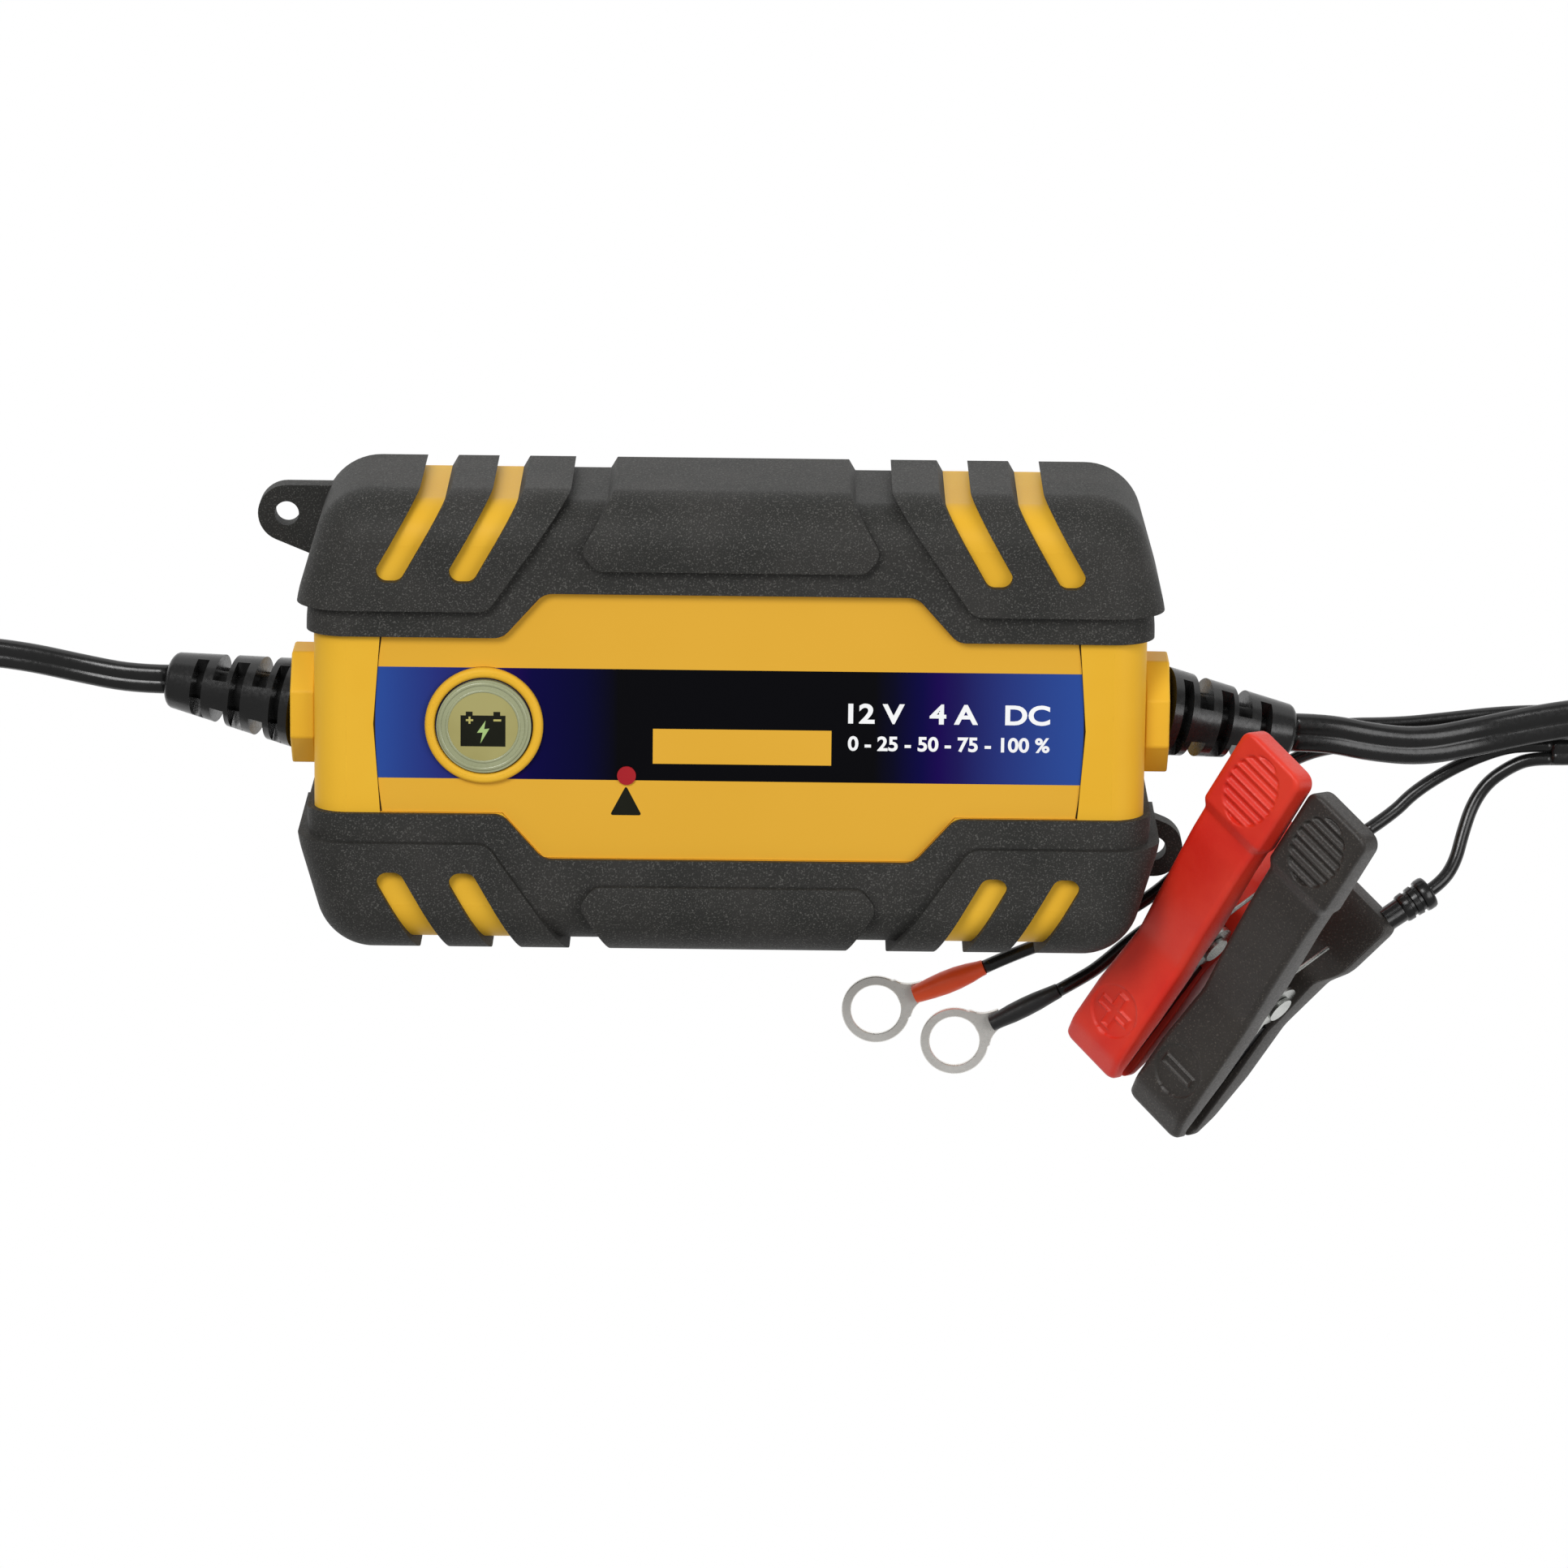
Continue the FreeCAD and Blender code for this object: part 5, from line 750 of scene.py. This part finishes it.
def ring_blank(place, heading):
    """Rings of points of a flat ring with a neck that narrows in a hollow curve from it, its edges softened.

    The ring's edge is round up to 38 degrees either side of its neck. From there the neck's half width at a
    distance s is 1.7 + 3.1 * exp(-(s - 6) / 1.9), up to s = 11.5."""
    far = numpy.radians(numpy.linspace(38, 322, 60))
    edge = numpy.stack([numpy.cos(far), numpy.sin(far)], axis=1) * RING_ROUND
    s = numpy.linspace(11.5, 6.3, 14)
    half = 1.7 + 3.1 * numpy.exp(-(s - 6) / 1.9)
    neck = numpy.concatenate([numpy.stack([s[::-1], -half[::-1]], axis=1), numpy.stack([s, half], axis=1)])
    outline = numpy.concatenate([edge, neck])
    outwards = outline / numpy.linalg.norm(outline, axis=1)[:, None]
    inner = outwards * RING_BORE
    inner_flat, outer_flat = inner + outwards * RING_SOFT, outline - outwards * RING_SOFT
    loops = []
    for flat, height in ((inner, RING_SOFT), (inner_flat, 0), (outer_flat, 0), (outline, RING_SOFT),
                         (outline, RING_THICK - RING_SOFT), (outer_flat, RING_THICK),
                         (inner_flat, RING_THICK), (inner, RING_THICK - RING_SOFT)):
        loops.append(numpy.column_stack([flat, numpy.full(len(flat), float(height))]))
    turn_by = math.radians(heading)
    cosine, sine = math.cos(turn_by), math.sin(turn_by)
    spun = numpy.array([[cosine, sine, 0], [-sine, cosine, 0], [0, 0, 1]])
    return numpy.array(loops) @ spun + numpy.array(place)


blanks = numpy.array([ring_blank(RING_PLACES[colour], headings[colour]) for colour in ("red", "black")])
one_ring = grid_faces(*blanks.shape[1:3], closed=True)
other_ring = [tuple(index + blanks[0].size // 3 for index in face) for face in one_ring]
terminals = piece_from("stamped_terminals", blanks.reshape(-1, 3), one_ring + other_ring, tin, sharp=40,
                       body=body_for("ring_terminals"), slot="tinned_copper")
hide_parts("ring_terminals")

# Clamp halves, in axes that run along a clamp, across it and square to both from its rivet

PINS = {"red": (98.258, -47.190, 19.4), "black": (111.8, -58.9, 23.6)}
lie = (Matrix.Rotation(math.radians(57.5), 3, "Z") @ Matrix.Rotation(math.radians(-13), 3, "Y")
       @ Matrix.Rotation(math.radians(-32), 3, "X"))
# The way along a clamp, across it and square to both.
CLAMP_AXES = numpy.array([lie.col[k][:] for k in range(3)])
# The oval of ribs on a handle, and the round mark with half the width and the length of its sign's bars.
PAD_MIDDLE, PAD_LONG, PAD_ACROSS, PAD_DEEP, RIB_PITCH = 41.2, 8.6, 6.3, 0.85, 2.35
MARK_MIDDLE, MARK_ROUND, MARK_DEEP, BAR_WIDE, BAR_LONG = -23.0, 5.9, 0.45, 1.0, 4.1
# Corners of a clamp half's outer and inner height and of its width, at distances along it from the rivet.
NOSE_OUTER = [(-37, 4.4), (-31.5, 7.4), (-20, 9.0), (-5, 9.4)]
NOSE_INNER = [(-37, 0.8), (-36, 0.8), (-34.5, 2.1), (-7, 2.1), (-3, 3.5), (8, 5.5)]
NOSE_WIDE = [(-37, 15.2), (-20, 14.8), (-6, 13.6)]
UPPER = {"reach": (-37.0, 51.5),
         "outer": NOSE_OUTER + [(8, 13.6), (24, 18.1), (30.4, 19.2), (31.4, 20.6), (51.5, 24.4)],
         "inner": NOSE_INNER + [(24, 11.1), (51.5, 17.9)],
         "wide": NOSE_WIDE + [(12, 14.4), (30.2, 15.4), (31.6, 17.0), (51.5, 17.2)]}
LOWER = {"reach": (-37.0, 23.0),
         "outer": NOSE_OUTER + [(8, 14.2), (11, 18.4), (23, 24.4)],
         "inner": NOSE_INNER + [(11, 12.6), (23, 18.6)],
         "wide": NOSE_WIDE + [(7, 14.4), (10, 17.0), (23, 17.2)]}


def eased_runs(x, corners, soft):
    """Straight runs between corners, averaged over a width of twice soft so that each corner is round."""
    places, values = zip(*corners)
    shifts = numpy.linspace(-soft, soft, 9)
    return numpy.mean([numpy.interp(x + shift, places, values) for shift in shifts], axis=0)


def drawn_in(from_end, radius):
    """What a round end takes off at a distance d from it: radius * (1 - sqrt(1 - (1 - d / radius) ** 2))."""
    return radius * (1 - numpy.sqrt(1 - (1 - numpy.clip(from_end / radius, 0, 1)) ** 2))


def pressed(x, y, mark):
    """Heights in the outer face: an oval of cross ribs, and a round recess with a plus or minus in outline.

    The oval's floor is PAD_DEEP deep, and its ribs fill ((1 + cos(2 pi x / RIB_PITCH)) / 2) ** 1.4 of that.
    The recess is MARK_DEEP deep, and at a distance d from the edge of the sign's bars the outline is
    0.5 * exp(-(d / 0.25) ** 2) high."""
    oval = 1 - numpy.sqrt(((x - PAD_MIDDLE) / PAD_LONG) ** 2 + (y / PAD_ACROSS) ** 2)
    waves = (0.5 + 0.5 * numpy.cos((x - PAD_MIDDLE) * 2 * math.pi / RIB_PITCH)) ** 1.4
    heights = eased(oval / 0.07) * PAD_DEEP * (waves - 1)
    off = x - MARK_MIDDLE
    heights = heights - MARK_DEEP * eased((MARK_ROUND - numpy.hypot(off, y)) / 0.3)
    across = numpy.maximum(numpy.abs(off) - BAR_WIDE, numpy.abs(y) - BAR_LONG)
    if mark == "plus":
        across = numpy.minimum(across, numpy.maximum(numpy.abs(off) - BAR_LONG, numpy.abs(y) - BAR_WIDE))
    return heights + 0.5 * numpy.exp(-(across / 0.25) ** 2)


def clamp_half(colour, which, side, shape, mark):
    """Half of a clamp, a rounded rectangle at each distance x along it, from its inner to its outer height.

    Its width draws in to a round of 1.6 at the nose and of 3 at the handle, and its outer height by 1.1 and
    its inner height by half that."""
    first, last = shape["reach"]
    near_end = numpy.array([0, 0.03, 0.12, 0.3, 0.55, 0.9, 1.3, 1.8, 2.4, 3.0])
    places = [numpy.arange(first, last, 1.0), first + near_end, last - near_end]
    if mark:
        places += [numpy.arange(MARK_MIDDLE - 6, MARK_MIDDLE + 6, 0.27), numpy.arange(29.6, last - 0.3, 0.27)]
    x = numpy.unique(numpy.round(numpy.concatenate(places), 3))
    from_end = numpy.minimum(x - first, last - x)
    half = eased_runs(x, shape["wide"], 0.7) / 2
    corner = numpy.where(x < 0, 1.6, 3.0)
    half = half - drawn_in(from_end, corner)
    outer = eased_runs(x, shape["outer"], 1.1)
    inner = eased_runs(x, shape["inner"], 0.5)
    drawn = drawn_in(from_end, 1.1)
    outer, inner = outer - drawn, inner + drawn * 0.5
    x, half, outer, inner = (values[:, None] for values in (x, half, outer, inner))
    big, small = numpy.minimum(1.5, (outer - inner) * 0.45), 0.4
    shares = numpy.linspace(1, -1, 47 if mark else 15)[None, :]
    top_y = shares * (half - big)
    top_z = outer + (pressed(x, top_y, mark) if mark else 0)
    quarter = numpy.radians(numpy.linspace(90, 180, 7))[None, 1:]
    left_y, left_z = -(half - big) + big * numpy.cos(quarter), outer - big + big * numpy.sin(quarter)
    quarter = numpy.radians(numpy.linspace(180, 270, 4))[None, :]
    under_y = -(half - small) + small * numpy.cos(quarter)
    under_z = inner + small + small * numpy.sin(quarter)
    flip_y, flip_z = -under_y[:, ::-1], under_z[:, ::-1]
    right_y, right_z = -left_y[:, ::-1], left_z[:, ::-1]
    y = numpy.concatenate([top_y, left_y, under_y, flip_y, right_y], axis=1)
    z = numpy.concatenate([top_z + 0 * top_y, left_z, under_z, flip_z, right_z], axis=1)
    local = numpy.stack([x + 0 * y, y, side * z], axis=-1)
    rings = local @ CLAMP_AXES + numpy.array(PINS[colour])
    node = "%s_%s_grip" % (colour, which)
    shell = skin("%s_%s_shell" % (colour, which), rings, surface_of[node], body=body_for(node), sharp=50,
                 slot=slot_of[node])
    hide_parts(node)


for colour, mark in (("red", "plus"), ("black", "minus")):
    clamp_half(colour, "upper", 1, UPPER, mark)
    clamp_half(colour, "lower", -1, LOWER, None)

for colour in ("red", "black"):
    # The coil, copied as it is from its node, twists evenly along the rivet from its lower leg to its upper
    # leg.
    spring = copy_of(colour + "_clamp_spring", colour + "_wound_spring", 0.002, outwards=False)
    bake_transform(spring)

# Printing on the panel and on the button

# How high the ink, the painted shadow line at the film's ends and the layer over the ink stand, and how deep
# they root.
INK, SHADOW_LINE_HIGH, OVER_INK = 0.03, 0.045, 0.05
ROOT, SHADOW_LINE_ROOT, DISC_ROOT = 0.05, 0.06, 0.1


def top_of(label):
    """The height of a node's top in millimetres."""
    return max(vertex.co.z for vertex in frame["nodes"][label].data.vertices) / MM


def printed_plate(name, outline, bottom, top, material, body="charger", slot="printed_film"):
    """A flat plate with straight sides between two heights."""
    count = len(outline)
    points = [(x, y, bottom) for x, y in outline] + [(x, y, top) for x, y in outline]
    faces = [(k, (k + 1) % count, count + (k + 1) % count, count + k) for k in range(count)]
    faces += [tuple(range(count)), tuple(range(count, 2 * count))]
    return piece_from(name, points, faces, material, body=body, smooth=False, slot=slot)


def printed_words(name, words, left, right, low, high, bottom, top, material):
    """Words stretched to fill a box, and bolder by an offset that is a share of the letters' size."""
    curve = bpy.data.curves.new(name, "FONT")
    curve.body = words
    curve.offset = 0.028
    curve.extrude = 0.05
    curve.resolution_u = 5
    points, faces = mesh_of(curve)
    least, most = points.min(axis=0), points.max(axis=0)
    shares = (points - least) / (most - least)
    low_corner, high_corner = numpy.array((left, low, bottom)), numpy.array((right, high, top))
    return piece_from(name, low_corner + shares * (high_corner - low_corner), faces, material, smooth=False,
                      slot="printed_film")


def rounded(corners, radius, steps=5):
    """An outline with its corners rounded: each corner becomes the curve (1-t)^2 a + 2t(1-t) b + t^2 c."""
    corners = numpy.array(corners, dtype=float)
    before, after = numpy.roll(corners, 1, axis=0), numpy.roll(corners, -1, axis=0)
    to_before = (before - corners) / numpy.linalg.norm(before - corners, axis=1)[:, None]
    to_after = (after - corners) / numpy.linalg.norm(after - corners, axis=1)[:, None]
    t = numpy.linspace(0, 1, steps)[None, :, None]
    a, c = (corners + to_before * radius)[:, None], (corners + to_after * radius)[:, None]
    return ((1 - t) ** 2 * a + 2 * t * (1 - t) * corners[:, None] + t ** 2 * c).reshape(-1, 2).tolist()


# The lower and upper edge of the panel's band, and the film's outline.
BAND_LOW, BAND_HIGH = -11.45, 12.1
FILM_END, FILM_BOW, FILM_CORNER = 73.6, 1.4, 18.75


def film_end(y):
    """How far the film reaches at a height on the panel: its ends are bowed out at the middle."""
    return FILM_END - FILM_BOW * (y / FILM_CORNER) ** 2 - 0.12


film_top = top_of("label_overlay")
sides = numpy.linspace(BAND_LOW, BAND_HIGH, 11)
band_outline = [(film_end(y), y) for y in sides] + [(-film_end(y), y) for y in sides[::-1]]
printed_plate("printed_band", band_outline, film_top - ROOT, film_top + INK, band_print)
# The dark brown plates across each end of the film are painted shadow of the recess's edge, not print.
shadow_line_sides = numpy.linspace(-FILM_CORNER + 0.2, FILM_CORNER - 0.2, 15)
for hand, side in ((-1, "left"), (1, "right")):
    shadow_line = [(hand * (film_end(y) - 0.3), y) for y in shadow_line_sides]
    shadow_line += [(hand * (film_end(y) + 0.08), y) for y in shadow_line_sides[::-1]]
    printed_plate("painted_shadow_line_" + side, shadow_line, film_top - SHADOW_LINE_ROOT, film_top + SHADOW_LINE_HIGH, recess_shadow_paint)
printed_plate("plain_bar", [(-15.8, -7.85), (21.1, -7.85), (21.1, -0.45), (-15.8, -0.45)], film_top,
              film_top + OVER_INK, film)
for name, words, low, high in (("rating_words", "12 V   4 A   DC", 1.1, 5.4),
                               ("charge_scale", "0 - 25 - 50 - 75 - 100 %", -4.7, -1.5)):
    printed_words(name, words, 24.5, 66.2, low, high, film_top, film_top + OVER_INK, white_print)
printed_plate("lamp_mark", rounded([(-24.6, -18.9), (-18.0, -18.9), (-21.3, -12.6)], 0.7), film_top - ROOT,
              film_top + INK, black_print)

disc_top = top_of("symbol_disc")
button_body = body_for("symbol_disc")
button_x, symbol_y = -50.85, -0.95


def on_button(name, outline, top, material):
    """A plate on the button's disc, its outline given from the middle of the battery symbol."""
    places = [(button_x + x, symbol_y + y) for x, y in outline]
    printed_plate(name, places, disc_top - DISC_ROOT, disc_top + top, material, body=button_body,
                  slot="olive_print")


on_button("battery_symbol", [(-4.64, -3.25), (4.64, -3.25), (4.64, 3.3), (3.55, 3.3), (3.55, 4.1),
                             (2.15, 4.1), (2.15, 3.3), (-2.15, 3.3), (-2.15, 4.1), (-3.55, 4.1),
                             (-3.55, 3.3), (-4.64, 3.3)], INK, black_print)
on_button("battery_bolt", [(0.54, 2.25), (-1.24, -0.36), (-0.06, -0.3), (-0.54, -2.62), (1.33, 0.56),
                           (0.24, 0.42)], OVER_INK, bolt_print)
plus_outline = [(-0.75, -0.2), (-0.2, -0.2), (-0.2, -0.75), (0.2, -0.75), (0.2, -0.2), (0.75, -0.2),
                (0.75, 0.2), (0.2, 0.2), (0.2, 0.75), (-0.2, 0.75), (-0.2, 0.2), (-0.75, 0.2)]
on_button("battery_plus", [(x - 2.78, y + 2.3) for x, y in plus_outline], OVER_INK, olive_print)
on_button("battery_minus", [(2.15, 2.1), (3.75, 2.1), (3.75, 2.52), (2.15, 2.52)], OVER_INK, olive_print)

cap_top = top_of("status_button")


def cap_line(name, radius, half_wide, high):
    """A raised line round the cap: an ellipse half_wide across and high up, carried round a circle.

    A point at the angles q round the cap and p round the ellipse is at the radius + half_wide * cos p, and
    high * sin p above the cap."""
    q = numpy.linspace(0, 2 * math.pi, 96, endpoint=False)[:, None]
    p = numpy.linspace(0, 2 * math.pi, 12, endpoint=False)[None, :]
    out = radius + half_wide * numpy.cos(p)
    up = cap_top + high * numpy.sin(p) + 0 * q
    points = numpy.stack([button_x + out * numpy.cos(q), out * numpy.sin(q), up], axis=-1)
    piece_from(name, points.reshape(-1, 3), grid_faces(96, 12, closed=True), smoke, body=button_body,
               slot="smoke_plastic")


cap_line("cap_inner_line", 7.5, 0.28, 0.16)
cap_line("cap_outer_line", 9.0, 0.4, 0.25)

# Floor and lights

# White paper, evenly lit.
paper, tree = blank_material("white_paper")
glow = add(tree, "ShaderNodeEmission", {"Color": grey(1.0), "Strength": 1.0})
add(tree, "ShaderNodeOutputMaterial", {"Surface": glow.outputs["Emission"]})
# The floor's reach and height, in metres.
REACH, FLOOR_Z = 3.0, -0.0004
floor_mesh = bpy.data.meshes.new("floor")
floor_corners = ((-REACH, -REACH), (REACH, -REACH), (REACH, REACH), (-REACH, REACH))
floor_mesh.from_pydata([(x, y, FLOOR_Z) for x, y in floor_corners], [], [(0, 1, 2, 3)])
floor_mesh.materials.append(paper)
placed("floor", floor_mesh)

world = bpy.data.worlds.new("studio")
bpy.context.scene.world = world
world.use_nodes = True
world.node_tree.nodes["Background"].inputs["Color"].default_value = grey(1.0)
world.node_tree.nodes["Background"].inputs["Strength"].default_value = 0.3


def softbox(name, place, aim, wide, tall, power):
    """A rectangular area light that faces a point. Its places and sizes are in metres, its power in watts."""
    light = bpy.data.lights.new(name, "AREA")
    light.shape = "RECTANGLE"
    light.size = wide
    light.size_y = tall
    light.energy = power
    box = placed(name, light)
    box.location = place
    box.rotation_euler = (Vector(aim) - Vector(place)).to_track_quat("-Z", "Y").to_euler()


softbox("key_light", (-0.5, 0.9, 1.3), (0.0, 0.0, 0.0), 0.9, 0.6, 16.0)
softbox("fill_light", (0.9, 0.2, 1.1), (0.0, 0.0, 0.0), 0.8, 0.8, 7.0)
bpy.context.scene.view_settings.view_transform = "Standard"
